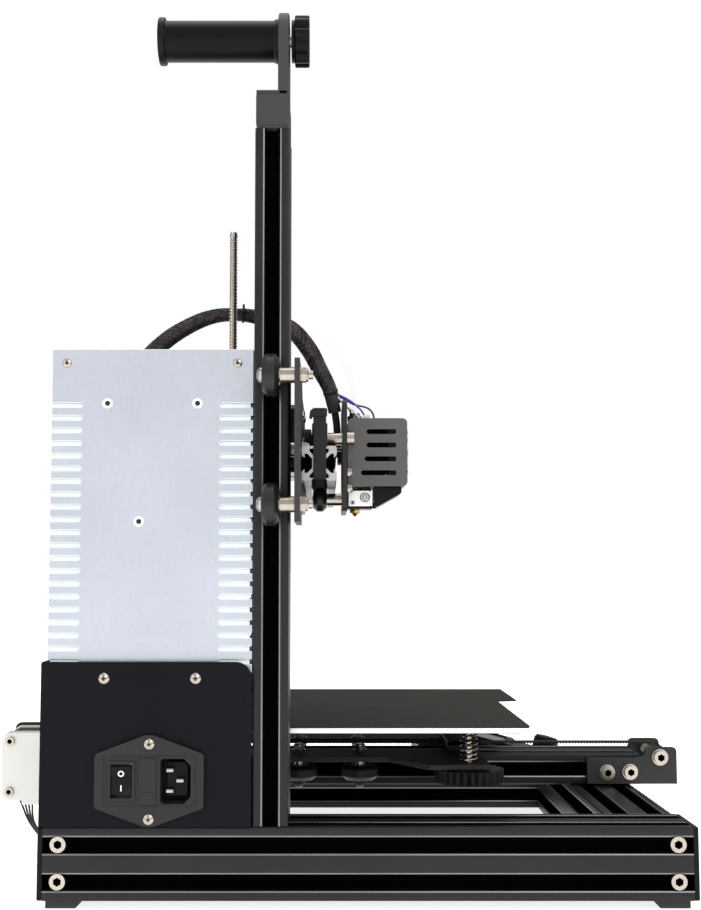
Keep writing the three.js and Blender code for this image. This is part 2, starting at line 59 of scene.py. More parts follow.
base_low, base_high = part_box("base_left")[0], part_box("base_right")[1]
MIDDLE = Vector(((base_low.x + base_high.x) / 2, (base_low.y + base_high.y) / 2, 0))
TO_FRAME = Matrix.Translation(MIDDLE) @ Matrix.Diagonal((MM, MM, MM, 1))


def span(node):
    """The box of a CAD node in millimetres from the middle of the base."""
    low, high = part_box(node)
    back = TO_FRAME.inverted()
    return back @ low, back @ high


# ---------- finishes ----------
def link(tree, source, target):
    tree.links.new(source, target)


def finish(name, colour, roughness, metallic=0.0, specular=0.5, grain=900, stretch=(1, 1, 1),
           mottle=0.12, bump=0.15, depth=0.05, cells=False, edge_highlight=0.0, alpha=1.0, coat=0.0):
    """A procedural finish: slow mottling of colour and gloss, and a fine grain in millimetres.

    grain is the number of features in a metre, stretch draws it out along an axis, mottle
    and bump are their strengths, depth is the height of the grain in millimetres, cells
    makes it pebbled, edge_highlight paints a highlight on the raised edges by lightening their
    colour, alpha under 1 is see-through and coat adds a clear layer."""
    material = bpy.data.materials.new(name)
    material.use_nodes = True
    tree = material.node_tree
    shader = tree.nodes["Principled BSDF"]
    shader.inputs["Metallic"].default_value = metallic
    shader.inputs["Specular IOR Level"].default_value = specular
    shader.inputs["Alpha"].default_value = alpha
    shader.inputs["Coat Weight"].default_value = coat
    place = tree.nodes.new("ShaderNodeTexCoord")
    mapping = tree.nodes.new("ShaderNodeMapping")
    mapping.inputs["Scale"].default_value = stretch
    link(tree, place.outputs["Object"], mapping.inputs["Vector"])

    slow = tree.nodes.new("ShaderNodeTexNoise")
    slow.inputs["Scale"].default_value = 22
    slow.inputs["Detail"].default_value = 4
    link(tree, place.outputs["Object"], slow.inputs["Vector"])
    fine = tree.nodes.new("ShaderNodeTexVoronoi" if cells else "ShaderNodeTexNoise")
    fine.inputs["Scale"].default_value = grain
    link(tree, mapping.outputs["Vector"], fine.inputs["Vector"])
    fine_value = fine.outputs["Distance" if cells else "Fac"]

    blend = tree.nodes.new("ShaderNodeMath")
    blend.operation = "MULTIPLY_ADD"
    link(tree, fine_value, blend.inputs[0])
    blend.inputs[1].default_value = 0.5
    halved = tree.nodes.new("ShaderNodeMath")
    halved.operation = "MULTIPLY"
    halved.inputs[1].default_value = 0.5
    link(tree, slow.outputs["Fac"], halved.inputs[0])
    link(tree, halved.outputs[0], blend.inputs[2])

    tint = tree.nodes.new("ShaderNodeValToRGB")
    tint.color_ramp.elements[0].position = 0.3
    tint.color_ramp.elements[1].position = 0.7
    for element, side in zip(tint.color_ramp.elements, (-1, 1)):
        element.color = (*[max(0.0, c * (1 + side * mottle)) for c in colour], 1)
    link(tree, blend.outputs[0], tint.inputs["Fac"])
    colour_out = tint.outputs["Color"]
    # Raised edges are lightened towards a paler copy of the colour: a painted highlight along them.
    if edge_highlight:
        geometry = tree.nodes.new("ShaderNodeNewGeometry")
        edge = tree.nodes.new("ShaderNodeMapRange")
        edge.inputs["From Min"].default_value = 0.52
        edge.inputs["From Max"].default_value = 0.62
        edge.inputs["To Max"].default_value = edge_highlight
        link(tree, geometry.outputs["Pointiness"], edge.inputs["Value"])
        highlighted = tree.nodes.new("ShaderNodeMix")
        highlighted.data_type = "RGBA"
        link(tree, edge.outputs["Result"], highlighted.inputs["Factor"])
        link(tree, colour_out, highlighted.inputs["A"])
        highlighted.inputs["B"].default_value = (*[min(1.0, c * 3 + 0.05) for c in colour], 1)
        colour_out = highlighted.outputs["Result"]
    link(tree, colour_out, shader.inputs["Base Color"])

    gloss = tree.nodes.new("ShaderNodeMapRange")
    gloss.inputs["To Min"].default_value = roughness - 0.07
    gloss.inputs["To Max"].default_value = min(1.0, roughness + 0.1)
    link(tree, blend.outputs[0], gloss.inputs["Value"])
    link(tree, gloss.outputs["Result"], shader.inputs["Roughness"])

    relief = tree.nodes.new("ShaderNodeBump")
    relief.inputs["Strength"].default_value = bump
    relief.inputs["Distance"].default_value = depth * MM
    link(tree, fine_value, relief.inputs["Height"])
    link(tree, relief.outputs["Normal"], shader.inputs["Normal"])
    return material


ANODISED = {axis: finish(f"anodised_{axis}", (0.025, 0.025, 0.0265), 0.4, metallic=0.85, grain=2600,
                         stretch=stretch, mottle=0.14, bump=0.3, depth=0.02)
            for axis, stretch in (("X", (0.03, 1, 1)), ("Y", (1, 0.03, 1)), ("Z", (1, 1, 0.03)))}
# A lighter copy of the anodised finish for the slot lips: a painted highlight line along each slot.
EDGE_HIGHLIGHT = finish("anodised_edge_highlight", (0.2, 0.2, 0.2), 0.32, metallic=0.9, grain=1500, mottle=0.15)
# Near black for the deep faces of the slots: painted shade.
SLOT_SHADE = finish("slot_shade", (0.001, 0.001, 0.001), 0.8, specular=0.01, grain=1500, mottle=0.2)
CUT_END = finish("cut_aluminium", (0.5, 0.5, 0.49), 0.35, metallic=1, grain=2200, mottle=0.15, bump=0.4)
COVER_BLACK = finish("powder_coat", (0.0042, 0.004, 0.0065), 0.5, specular=0.1, grain=2400,
                     mottle=0.2, bump=0.35, depth=0.04)
# The black sheet, black plastic and grey plastic below get a painted highlight along their raised edges.
SHEET_BLACK = finish("black_sheet", (0.015, 0.015, 0.0155), 0.48, specular=0.3, grain=2200,
                     mottle=0.2, bump=0.35, depth=0.04, edge_highlight=0.25)
PLASTIC = finish("black_plastic", (0.004, 0.004, 0.0045), 0.3, specular=0.1, grain=2600,
                 mottle=0.15, bump=0.3, depth=0.03, edge_highlight=0.15)
INLET_PLASTIC = finish("inlet_plastic", (0.026, 0.026, 0.027), 0.5, specular=0.15, grain=3000,
                       mottle=0.1, bump=0.3, depth=0.03)
# A darker copy of the grey plastic for the top cap and spool bracket, which sit under the top lamp: painted
# shade.
GREY_PLASTIC_SHADED = finish("grey_plastic_shaded_top", (0.04, 0.04, 0.04), 0.5, specular=0.2, grain=2800, mottle=0.05, bump=0.2)
GREY_PLASTIC = finish("grey_plastic", (0.092, 0.092, 0.088), 0.5, specular=0.3, grain=2800,
                      mottle=0.1, bump=0.4, depth=0.03, edge_highlight=0.2)
STEEL = finish("steel", (0.43, 0.385, 0.34), 0.2, metallic=1, grain=900, mottle=0.2, bump=0.12)
# A dark brown-black for the floors of screw sockets and holes: painted shade in the recesses.
RECESS_SHADE = finish("painted_recess_shade", (0.02, 0.016, 0.013), 0.5, metallic=0.5, grain=1400, mottle=0.2)
DARK_STEEL = finish("dark_steel", (0.06, 0.06, 0.062), 0.3, metallic=1, grain=1400, mottle=0.2, bump=0.2)
SHEET_ALUMINIUM = finish("brushed_case", (0.5, 0.52, 0.575), 0.42, metallic=0.85, grain=2200,
                         stretch=(1, 0.25, 0.1), mottle=0.05, bump=0.3, depth=0.03)
# A near-white finish for the supply case: painted highlight on its front bevels, inside its vents and round
# its holes.
CASE_HIGHLIGHT = finish("case_painted_highlight", (0.82, 0.9, 0.9), 0.35, metallic=0.4, grain=2000, mottle=0.05)
ALUMINIUM = finish("aluminium", (0.9, 0.9, 0.89), 0.32, metallic=0.9, grain=1600, mottle=0.07, bump=0.2)
PALE_CASTING = finish("motor_casting", (0.7, 0.7, 0.665), 0.45, metallic=0.55, grain=1800,
                      mottle=0.06, bump=0.3)
BRASS = finish("brass", (0.83, 0.58, 0.2), 0.25, metallic=1, grain=1500, mottle=0.15)
RUBBER = finish("wheel_polymer", (0.009, 0.009, 0.0095), 0.36, specular=0.35, grain=1800, mottle=0.15,
                bump=0.3, depth=0.03)
BELT = finish("belt_rubber", (0.014, 0.014, 0.014), 0.7, specular=0.3, grain=2500, mottle=0.25, bump=0.5)
FOOT_RUBBER = finish("foot_rubber", (0.04, 0.04, 0.039), 0.75, specular=0.25, grain=2500, mottle=0.2,
                     bump=0.5)
SURFACE = finish("pebbled_sheet", (0.03, 0.028, 0.024), 0.65, specular=0.1, grain=1300, cells=True,
                 mottle=0.28, bump=0.7, depth=0.12)
FIBRE = finish("pressed_fibre", (0.012, 0.012, 0.0125), 0.55, specular=0.35, grain=700,
               stretch=(1, 1.6, 3), mottle=0.5, bump=0.8, depth=0.1)
SCREEN = finish("screen_window", (0.006, 0.008, 0.011), 0.12, specular=0.5, grain=500, mottle=0.1,
                bump=0.02, coat=0.6)
BOARD = finish("circuit_board", (0.01, 0.045, 0.022), 0.4, grain=700, mottle=0.4, bump=0.3)
BRAID = finish("braid_filament", (0.008, 0.007, 0.007), 0.3, specular=0.5, grain=1400, mottle=0.3)
BRAID_CORE = finish("loom_wires", (0.06, 0.026, 0.03), 0.55, grain=420, stretch=(1, 0.4, 0.4), mottle=0.95)
PTFE = finish("clear_tube", (0.93, 0.93, 0.97), 0.25, grain=600, mottle=0.02, bump=0.05, alpha=0.1)
WHITE = finish("white_marking", (0.8, 0.8, 0.8), 0.5, grain=1500, mottle=0.05)
WIRE = {name: finish(f"wire_{name}", colour, 0.4, grain=1200, mottle=0.12) for name, colour in {
    "black": (0.012, 0.012, 0.012), "red": (0.45, 0.02, 0.03), "blue": (0.05, 0.11, 0.62),
    "brown": (0.12, 0.04, 0.015), "white": (0.75, 0.75, 0.75)}.items()}


# Steel, and painted shade for the floors of sockets and recesses.
SCREWED = [STEEL, RECESS_SHADE]


# ---------- shapes ----------
def along(axis, a, b, h):
    return Vector({"X": (h, a, b), "Y": (a, h, b), "Z": (a, b, h)}[axis])


def ring(a, b, radius, sides=40, start=0.0):
    return [(a + radius * math.cos(start + 2 * math.pi * i / sides),
             b + radius * math.sin(start + 2 * math.pi * i / sides)) for i in range(sides)]


def arc(a, b, radius, start, end, steps=10):
    angles = [math.radians(start + (end - start) * i / steps) for i in range(steps + 1)]
    return [(a + radius * math.cos(t), b + radius * math.sin(t)) for t in angles]


def rounded(a, b, radius, steps=6):
    """A rectangle with rounded corners, from its two ranges."""
    corners = ((a[1], b[0], -90, -1, 1), (a[1], b[1], 0, -1, -1), (a[0], b[1], 90, 1, -1),
               (a[0], b[0], 180, 1, 1))
    return [p for ca, cb, start, sa, sb in corners
            for p in arc(ca + sa * radius, cb + sb * radius, radius, start, start + 90, steps)]


def fluted(a, b, radius, depth, count, steps=8):
    """A round outline with shallow flutes."""
    points = []
    for i in range(count * steps):
        t = 2 * math.pi * i / (count * steps)
        r = radius - depth * (0.5 - 0.5 * math.cos(count * t)) ** 2
        points.append((a + r * math.cos(t), b + r * math.sin(t)))
    return points


def smooth_path(points, samples):
    """Points evenly spread along a centripetal Catmull-Rom curve through the given points."""
    knots = [Vector(p) for p in points]
    knots = [2 * knots[0] - knots[1], *knots, 2 * knots[-1] - knots[-2]]
    dense = []
    for p0, p1, p2, p3 in zip(knots, knots[1:], knots[2:], knots[3:]):
        t0, t1 = 0.0, (p1 - p0).length ** 0.5
        t2 = t1 + (p2 - p1).length ** 0.5
        t3 = t2 + (p3 - p2).length ** 0.5
        for i in range(24):
            t = t1 + (t2 - t1) * i / 24
            a1 = p0 * ((t1 - t) / (t1 - t0)) + p1 * ((t - t0) / (t1 - t0))
            a2 = p1 * ((t2 - t) / (t2 - t1)) + p2 * ((t - t1) / (t2 - t1))
            a3 = p2 * ((t3 - t) / (t3 - t2)) + p3 * ((t - t2) / (t3 - t2))
            b1 = a1 * ((t2 - t) / (t2 - t0)) + a2 * ((t - t0) / (t2 - t0))
            b2 = a2 * ((t3 - t) / (t3 - t1)) + a3 * ((t - t1) / (t3 - t1))
            dense.append(b1 * ((t2 - t) / (t2 - t1)) + b2 * ((t - t1) / (t2 - t1)))
    dense.append(knots[-2])
    lengths = [0.0]
    for p, q in zip(dense, dense[1:]):
        lengths.append(lengths[-1] + (q - p).length)
    even, k = [], 0
    for i in range(samples + 1):
        want = lengths[-1] * i / samples
        while k < len(dense) - 2 and lengths[k + 1] < want:
            k += 1
        step = lengths[k + 1] - lengths[k]
        even.append(dense[k].lerp(dense[k + 1], (want - lengths[k]) / step if step else 0))
    return even


def frames_along(path):
    """A tangent and two steady side directions at each point of a path."""
    frames = []
    side = None
    for i, point in enumerate(path):
        ahead = path[min(i + 1, len(path) - 1)] - path[max(i - 1, 0)]
        tangent = ahead.normalized()
        if side is None:
            side = tangent.orthogonal().normalized()
        side = (side - tangent * side.dot(tangent)).normalized()
        frames.append((point, side, tangent.cross(side)))
    return frames


class Piece:
    """Gathers closed solids into one object."""

    def __init__(self, name):
        self.name = name
        self.mesh = bmesh.new()

    def solid(self, points, faces, bevel=0.0, steps=2, edge_material=-1, materials=None, limit=32):
        part = bmesh.new()
        verts = [part.verts.new(p) for p in points]
        for number, face in enumerate(faces):
            made = part.faces.new([verts[i] for i in face])
            if materials is not None:
                made.material_index = materials[number] if isinstance(materials, list) else materials
        bmesh.ops.recalc_face_normals(part, faces=part.faces)
        if bevel:
            edges = [e for e in part.edges if e.is_manifold and e.calc_face_angle() > math.radians(limit)]
            bmesh.ops.bevel(part, geom=edges, offset=bevel, segments=steps, profile=0.5, affect="EDGES",
                            clamp_overlap=True, material=edge_material)
        loose = bpy.data.meshes.new("part")
        part.to_mesh(loose)
        part.free()
        self.mesh.from_mesh(loose)
        bpy.data.meshes.remove(loose)
        return self

    def prism(self, axis, outline, start, end, holes=(), bevel=0.0, ends=None, sides=None, **more):
        """Pulls an outline along an axis.

        ends is the material of its end faces, sides those of its outer faces."""
        loops = [list(outline), *[list(hole) for hole in holes]]
        flat = [p for loop in loops for p in loop]
        count = len(flat)
        points = [along(axis, a, b, h) for h in (start, end) for a, b in flat]
        if holes:
            cap = tessellate_polygon([[Vector((a, b, 0)) for a, b in loop] for loop in loops])
        else:
            cap = [tuple(range(count))]
        faces = [tuple(face) for face in cap] + [tuple(i + count for i in reversed(face)) for face in cap]
        materials = [ends or 0] * len(faces) if ends is not None or sides else None
        first = 0
        for loop in loops:
            size = len(loop)
            faces += [(first + i, first + (i + 1) % size, first + (i + 1) % size + count, first + i + count)
                      for i in range(size)]
            if materials is not None:
                materials += list(sides) if sides and first == 0 else [0] * size
            first += size
        return self.solid(points, faces, bevel, materials=materials, **more)

    def box(self, x, y, z, bevel=0.4, **more):
        return self.prism("Z", [(x[0], y[0]), (x[1], y[0]), (x[1], y[1]), (x[0], y[1])], z[0], z[1],
                          bevel=bevel, **more)

    def lathe(self, profile, origin, axis=(0, 0, 1), segments=40, closed=False, material=None):
        """Turns (radius, height) points about an axis through origin. An open profile ends on the axis."""
        turn = Vector((0, 0, 1)).rotation_difference(Vector(axis)).to_matrix()
        points, rings = [], []
        for radius, height in profile:
            if radius < 1e-6:
                rings.append([len(points)])
                points.append(Vector(origin) + turn @ Vector((0, 0, height)))
                continue
            rings.append(range(len(points), len(points) + segments))
            points += [Vector(origin) + turn @ Vector((radius * math.cos(t), radius * math.sin(t), height))
                       for t in (2 * math.pi * i / segments for i in range(segments))]
        faces = []
        pairs = list(zip(rings, rings[1:] + rings[:1] if closed else rings[1:]))
        for low, high in pairs:
            for i in range(segments):
                j = (i + 1) % segments
                if len(low) == 1 and len(high) == 1:
                    continue
                if len(low) == 1:
                    faces.append((low[0], high[j], high[i]))
                elif len(high) == 1:
                    faces.append((low[i], low[j], high[0]))
                else:
                    faces.append((low[i], low[j], high[j], high[i]))
        return self.solid(points, faces, materials=material)

    def rod(self, origin, axis, radius, length, chamfer=0.3, segments=32):
        chamfer = min(chamfer, radius / 2, length / 3)
        return self.lathe([(0, 0), (radius - chamfer, 0), (radius, chamfer), (radius, length - chamfer),
                           (radius - chamfer, length), (0, length)], origin, axis, segments)

    def sweep(self, path, radius, sides=12):
        """A closed bar along a path, of one radius or of one radius at each of its points."""
        frames = frames_along(path)
        radii = radius if isinstance(radius, list) else [radius] * len(path)
        points = []
        for (centre, side, other), radius in zip(frames, radii):
            points += [centre + side * (radius * math.cos(t)) + other * (radius * math.sin(t))
                       for t in (2 * math.pi * i / sides for i in range(sides))]
        faces = [tuple(range(sides)), tuple(len(points) - 1 - i for i in range(sides))]
        for k in range(len(path) - 1):
            faces += [(k * sides + i, k * sides + (i + 1) % sides, (k + 1) * sides + (i + 1) % sides,
                       (k + 1) * sides + i) for i in range(sides)]
        return self.solid(points, faces)

    def polygon_rod(self, origin, axis, radius, length, sides=6, bevel=0.25, hole=None, material=0):
        """A bar of polygonal section, such as a nut, with its hole as (radius, sides)."""
        turn = Vector((0, 0, 1)).rotation_difference(Vector(axis)).to_matrix()
        other = Piece("part")
        holes = [ring(0, 0, hole[0], hole[1])] if hole else []
        other.prism("Z", ring(0, 0, radius, sides), 0, length, holes=holes, bevel=bevel, steps=1)
        for face in other.mesh.faces:
            face.material_index = material
        bmesh.ops.transform(other.mesh, verts=other.mesh.verts,
                            matrix=Matrix.Translation(origin) @ turn.to_4x4())
        loose = bpy.data.meshes.new("part")
        other.mesh.to_mesh(loose)
        other.mesh.free()
        self.mesh.from_mesh(loose)
        bpy.data.meshes.remove(loose)
        return self

    def cap_screw(self, origin, axis, radius=4.25, height=5.0):
        """A socket head cap screw whose head stands on origin and looks along axis."""
        socket, deep = radius * 0.55, height * 0.55
        out = Vector(axis)
        centre = Vector(origin)
        self.lathe([(0, 0), (radius, 0), (radius, height - deep), (0, height - deep)], centre, out)
        # The floor of the socket takes the second material, which is painted shade with the screwed finishes.
        self.lathe([(0, height - deep - 0.2), (socket * 1.3, height - deep - 0.2),
                    (socket * 1.3, height - deep), (0, height - deep)], centre, out, 24, material=1)
        self.polygon_rod(centre + out * (height - deep), out, radius, deep, sides=40, bevel=0.35,
                         hole=(socket, 6))
        return self

    def button_screw(self, origin, axis, radius=3.2, height=1.8):
        """A domed screw with a square recess in its head."""
        centre, out = Vector(origin), Vector(axis)
        dome = [(radius * math.cos(t), height * math.sin(t)) for t in (math.pi / 2 * i / 6 for i in range(5))]
        recess = radius * 0.42
        self.lathe([(0, 0), *dome, (recess, height * 0.96), (recess * 0.9, height * 0.8),
                    (0, height * 0.8)], centre, out, segments=36)
        top, arm = height * 0.8, recess * 0.85
        # The floor of the square recess takes the second material, which is painted shade with the screwed
        # finishes.
        self.polygon_rod(centre + out * top, out, arm, 0.12, sides=4, bevel=0, material=1)
        return self

    def nut(self, origin, axis, radius=4.6, height=4.0, bore=2.5):
        """A nut with a lock collar that stands on origin and looks along axis."""
        centre, out = Vector(origin), Vector(axis)
        self.polygon_rod(centre, out, radius, height * 0.7, sides=6, bevel=0.3, hole=(bore, 24))
        self.lathe([(bore, 0), (radius * 0.84, 0), (radius * 0.84, height * 0.18),
                    (radius * 0.66, height * 0.3), (bore, height * 0.3)], centre + out * height * 0.7, out,
                   closed=True)
        return self

    def moved(self, matrix):
        bmesh.ops.transform(self.mesh, verts=self.mesh.verts, matrix=matrix)
        return self

    def done(self, body, materials, slot, replaces=()):
        data = bpy.data.meshes.new(self.name)
        bmesh.ops.transform(self.mesh, verts=self.mesh.verts, matrix=TO_FRAME)
        self.mesh.to_mesh(data)
        self.mesh.free()
        data.shade_smooth()
        data.set_sharp_from_angle(angle=math.radians(28))
        for material in materials if isinstance(materials, (list, tuple)) else [materials]:
            data.materials.append(material)
        made = bpy.data.objects.new(self.name, data)
        bpy.context.scene.collection.objects.link(made)
        weighted = made.modifiers.new("flat_faces", "WEIGHTED_NORMAL")
        weighted.keep_sharp = True
        if body:
            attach(made, body)
        if replaces:
            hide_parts(*replaces)
        return made


# ---------- slotted profiles ----------
CELL = 20.0
# Half the slot as (distance from its middle, depth); the other half mirrors it.
HALF_SLOT = [(5.3, 0), (4.5, 0.4), (3.1, 1.6), (5.5, 1.6), (5.5, 3.2), (2.7, 6)]
SLOT = [(-s, d) for s, d in HALF_SLOT] + HALF_SLOT[::-1]
CORNER = 1.2
# The slot lips get a painted highlight, and the deep faces of the slots get painted shade.
FLAT, HIGHLIGHT_LINE, DEEP, CUT = range(4)    # the materials of a profile
SLOT_FACES = [HIGHLIGHT_LINE, *[DEEP] * 9, HIGHLIGHT_LINE, FLAT]


def profile(m, n, a0, b0):
    """Outline of a slotted profile of m by n cells about (a0, b0), and the material of each side face."""
    half = (m * CELL / 2, n * CELL / 2)
    sides = ((m, (1, 0), (0, 1), (-half[0], -half[1])), (n, (0, 1), (-1, 0), (half[0], -half[1])),
             (m, (-1, 0), (0, -1), (half[0], half[1])), (n, (0, -1), (1, 0), (-half[0], half[1])))
    points, faces = [], []
    for cells, run, inward, start in sides:
        steps = [(0.35, 0.35), (CORNER, 0)]
        faces += [FLAT, FLAT]
        for i in range(cells):
            steps += [((i + 0.5) * CELL + s, d) for s, d in SLOT]
            faces += SLOT_FACES
        steps.append((cells * CELL - CORNER, 0))
        faces.append(FLAT)
        points += [(a0 + start[0] + run[0] * s + inward[0] * d, b0 + start[1] + run[1] * s + inward[1] * d)
                   for s, d in steps]
    return points, faces


def extrusion(name, body, axis, m, n, low, high, nodes):
    """A profile between two corners, in place of its CAD nodes, with its centre holes."""
    index = "XYZ".index(axis)
    a, b = [i for i in range(3) if i != index]
    centre = ((low[a] + high[a]) / 2, (low[b] + high[b]) / 2)
    holes = [ring(centre[0] + (i - (m - 1) / 2) * CELL, centre[1] + (j - (n - 1) / 2) * CELL, 2.1, 16)
             for i in range(m) for j in range(n)]
    outline, faces = profile(m, n, *centre)
    piece = Piece(name)
    piece.prism(axis, outline, low[index], high[index], holes=holes, ends=CUT, sides=faces)
    return piece.done(body, [ANODISED[axis], EDGE_HIGHLIGHT, SLOT_SHADE, CUT_END], "anodised", nodes)


def build_base():
    for side in ("left", "right"):
        extrusion(f"base_{side}_profile", "frame", "Y", 2, 2, *span(f"base_{side}"), [f"base_{side}"])
    for end in ("front", "rear"):
        extrusion(f"base_{end}_profile", "frame", "X", 2, 2, *span(f"base_{end}"), [f"base_{end}"])
    for side, sign in (("left", -1), ("right", 1)):
        for end, out in (("front", -1), ("rear", 1)):
            node = f"base_{side}"
            low, high = span(node)
            y = low.y if out < 0 else high.y
            middle = (low.z + high.z) / 2
            outline = rounded((low.x + 0.1, high.x - 0.1), (low.z + 0.1, high.z - 0.1), 1.4, 4)
            cap = Piece(f"end_cap_{end}_{side}")
            cap.prism("Y", outline, y + 0.05 * out, y + 2.9 * out, bevel=0.7, steps=3)
            for z in (middle - CELL / 2, middle + CELL / 2):
                cap.lathe([(0, 0), (3.2, 0), (2.6, 0.25), (0, 0.25)],
                          (sign * 140, y + 2.9 * out, z), (0, out, 0), 24)
            cap.done("frame", PLASTIC, "plastic_black")
            foot_low, foot_high = span(f"foot_{end}_{side}")
            near, far = (157, 178)
            points = [(out * far, foot_low.z + 0.01), (out * far, foot_high.z), (out * near, foot_high.z),
                      (out * (near + 1), foot_high.z - 1.2), (out * (near + 4.3), foot_low.z + 0.01)]
            foot = Piece(f"rubber_foot_{end}_{side}")
            foot.prism("X", points, foot_low.x, foot_high.x, bevel=0.6, steps=3)
            foot.done("frame", FOOT_RUBBER, "rubber", [f"foot_{end}_{side}"])
    screws = Piece("corner_screws")
    face = span("base_left")[0].x
    for sign in (-1, 1):
        for y in (-170.5, 170.5):
            for z in (15.5, 35.5):
                origin = (sign * (abs(face) - 4.6), y, z)
                screws.cap_screw(origin, (sign, 0, 0), 4.4, 5.2)
    screws.done("frame", SCREWED, "steel")


# ---------- Y axis ----------
BELT_PITCH = 2.0
Y_IDLER, Y_MOTOR = -195.8, 205.3


def toothed_belt(node, name, body, axis, centre_a, centre_b, width):
    """A closed toothed belt round two pulleys whose centres lie at (centre_a, b) and (centre_b, b)."""
    piece = Piece(name)
    a0, a1, b = centre_a[0], centre_b[0], centre_a[1]
    outer, inner = 7.55, 6.7
    track = arc(a1, b, outer, -90, 90, 24) + arc(a0, b, outer, 90, 270, 24)
    hole = arc(a1, b, inner, -90, 90, 24) + arc(a0, b, inner, 90, 270, 24)
    piece.prism(axis, track, width[0], width[1], holes=[hole])
    count = int((a1 - a0) / BELT_PITCH)
    for i in range(count):
        a = a0 + (i + 0.5) * (a1 - a0) / count
        for side in (-1, 1):
            root, tip = b + side * (inner + 0.02), b + side * (inner - 0.7)
            tooth = [(a - 0.6, root), (a - 0.35, tip), (a + 0.35, tip), (a + 0.6, root)]
            piece.prism(axis, tooth, width[0] + 0.05, width[1] - 0.05)
    turns = int(math.pi * inner / BELT_PITCH)
    for centre, start in ((a1, -90), (a0, 90)):
        for i in range(turns):
            t = math.radians(start + 180 * (i + 0.5) / turns)
            out, across = (math.cos(t), math.sin(t)), (-math.sin(t), math.cos(t))
            section = ((inner + 0.02, -0.6), (inner - 0.5, -0.35), (inner - 0.5, 0.35), (inner + 0.02, 0.6))
            tooth = [(centre + out[0] * r + across[0] * s, b + out[1] * r + across[1] * s)
                     for r, s in section]
            piece.prism(axis, tooth, width[0] + 0.05, width[1] - 0.05)
    return piece.done(body, BELT, "rubber", [node])


def toothed_pulley(piece, origin, axis, length, teeth=20, radius=6.0, flange=6.1):
    out = Vector(axis)
    piece.polygon_rod(Vector(origin), out, flange, 0.8, sides=48, bevel=0.15, hole=(2.6, 24))
    piece.polygon_rod(Vector(origin) + out * (length - 0.8), out, flange, 0.8, sides=48, bevel=0.15,
                      hole=(2.6, 24))
    for i in range(teeth):
        t = 2 * math.pi * i / teeth
        turn = Vector((0, 0, 1)).rotation_difference(out).to_matrix()
        offset = turn @ Vector((math.cos(t) * (radius - 0.9), math.sin(t) * (radius - 0.9), 0.7))
        piece.rod(Vector(origin) + offset, out, 0.52, length - 1.4, 0.1, 8)
    piece.lathe([(2.6, 0.7), (radius - 0.8, 0.7), (radius - 0.8, length - 0.7), (2.6, length - 0.7)],
                origin, axis, closed=True)


def stepper(name, body, slot, low, high, axis, shaft_end=None, shell=None):
    """A square motor between two corners: laminated middle, cast ends and ribs."""
    index = "XYZ".index(axis)
    a, b = [i for i in range(3) if i != index]
    ends = shell or PALE_CASTING
    cast = 9.0 if high[index] - low[index] > 30 else 6.0
    inset = 3.0 if high[a] - low[a] > 35 else 2.2

    def square(shrink, cut):
        a0, a1, b0, b1 = low[a] + shrink, high[a] - shrink, low[b] + shrink, high[b] - shrink
        return [(a0 + cut, b0), (a1 - cut, b0), (a1, b0 + cut), (a1, b1 - cut), (a1 - cut, b1),
                (a0 + cut, b1), (a0, b1 - cut), (a0, b0 + cut)]
    case = Piece(name)
    case.prism(axis, square(0.05, inset), low[index], low[index] + cast, bevel=0.5)
    case.prism(axis, square(0.05, inset), high[index] - cast, high[index], bevel=0.5)
    made = case.done(body, ends, slot)
    core = Piece(f"{name}_core")
    core.prism(axis, square(0.7, inset + 1.6), low[index] + cast - 0.5, high[index] - cast + 0.5)
    sheets = int((high[index] - low[index] - 2 * cast) / 1.1)
    for i in range(sheets):
        start = low[index] + cast + 0.3 + i * 1.1
        core.prism(axis, square(0.45, inset + 1.4), start, start + 0.7)
    core.done(body, DARK_STEEL, slot)
    return made


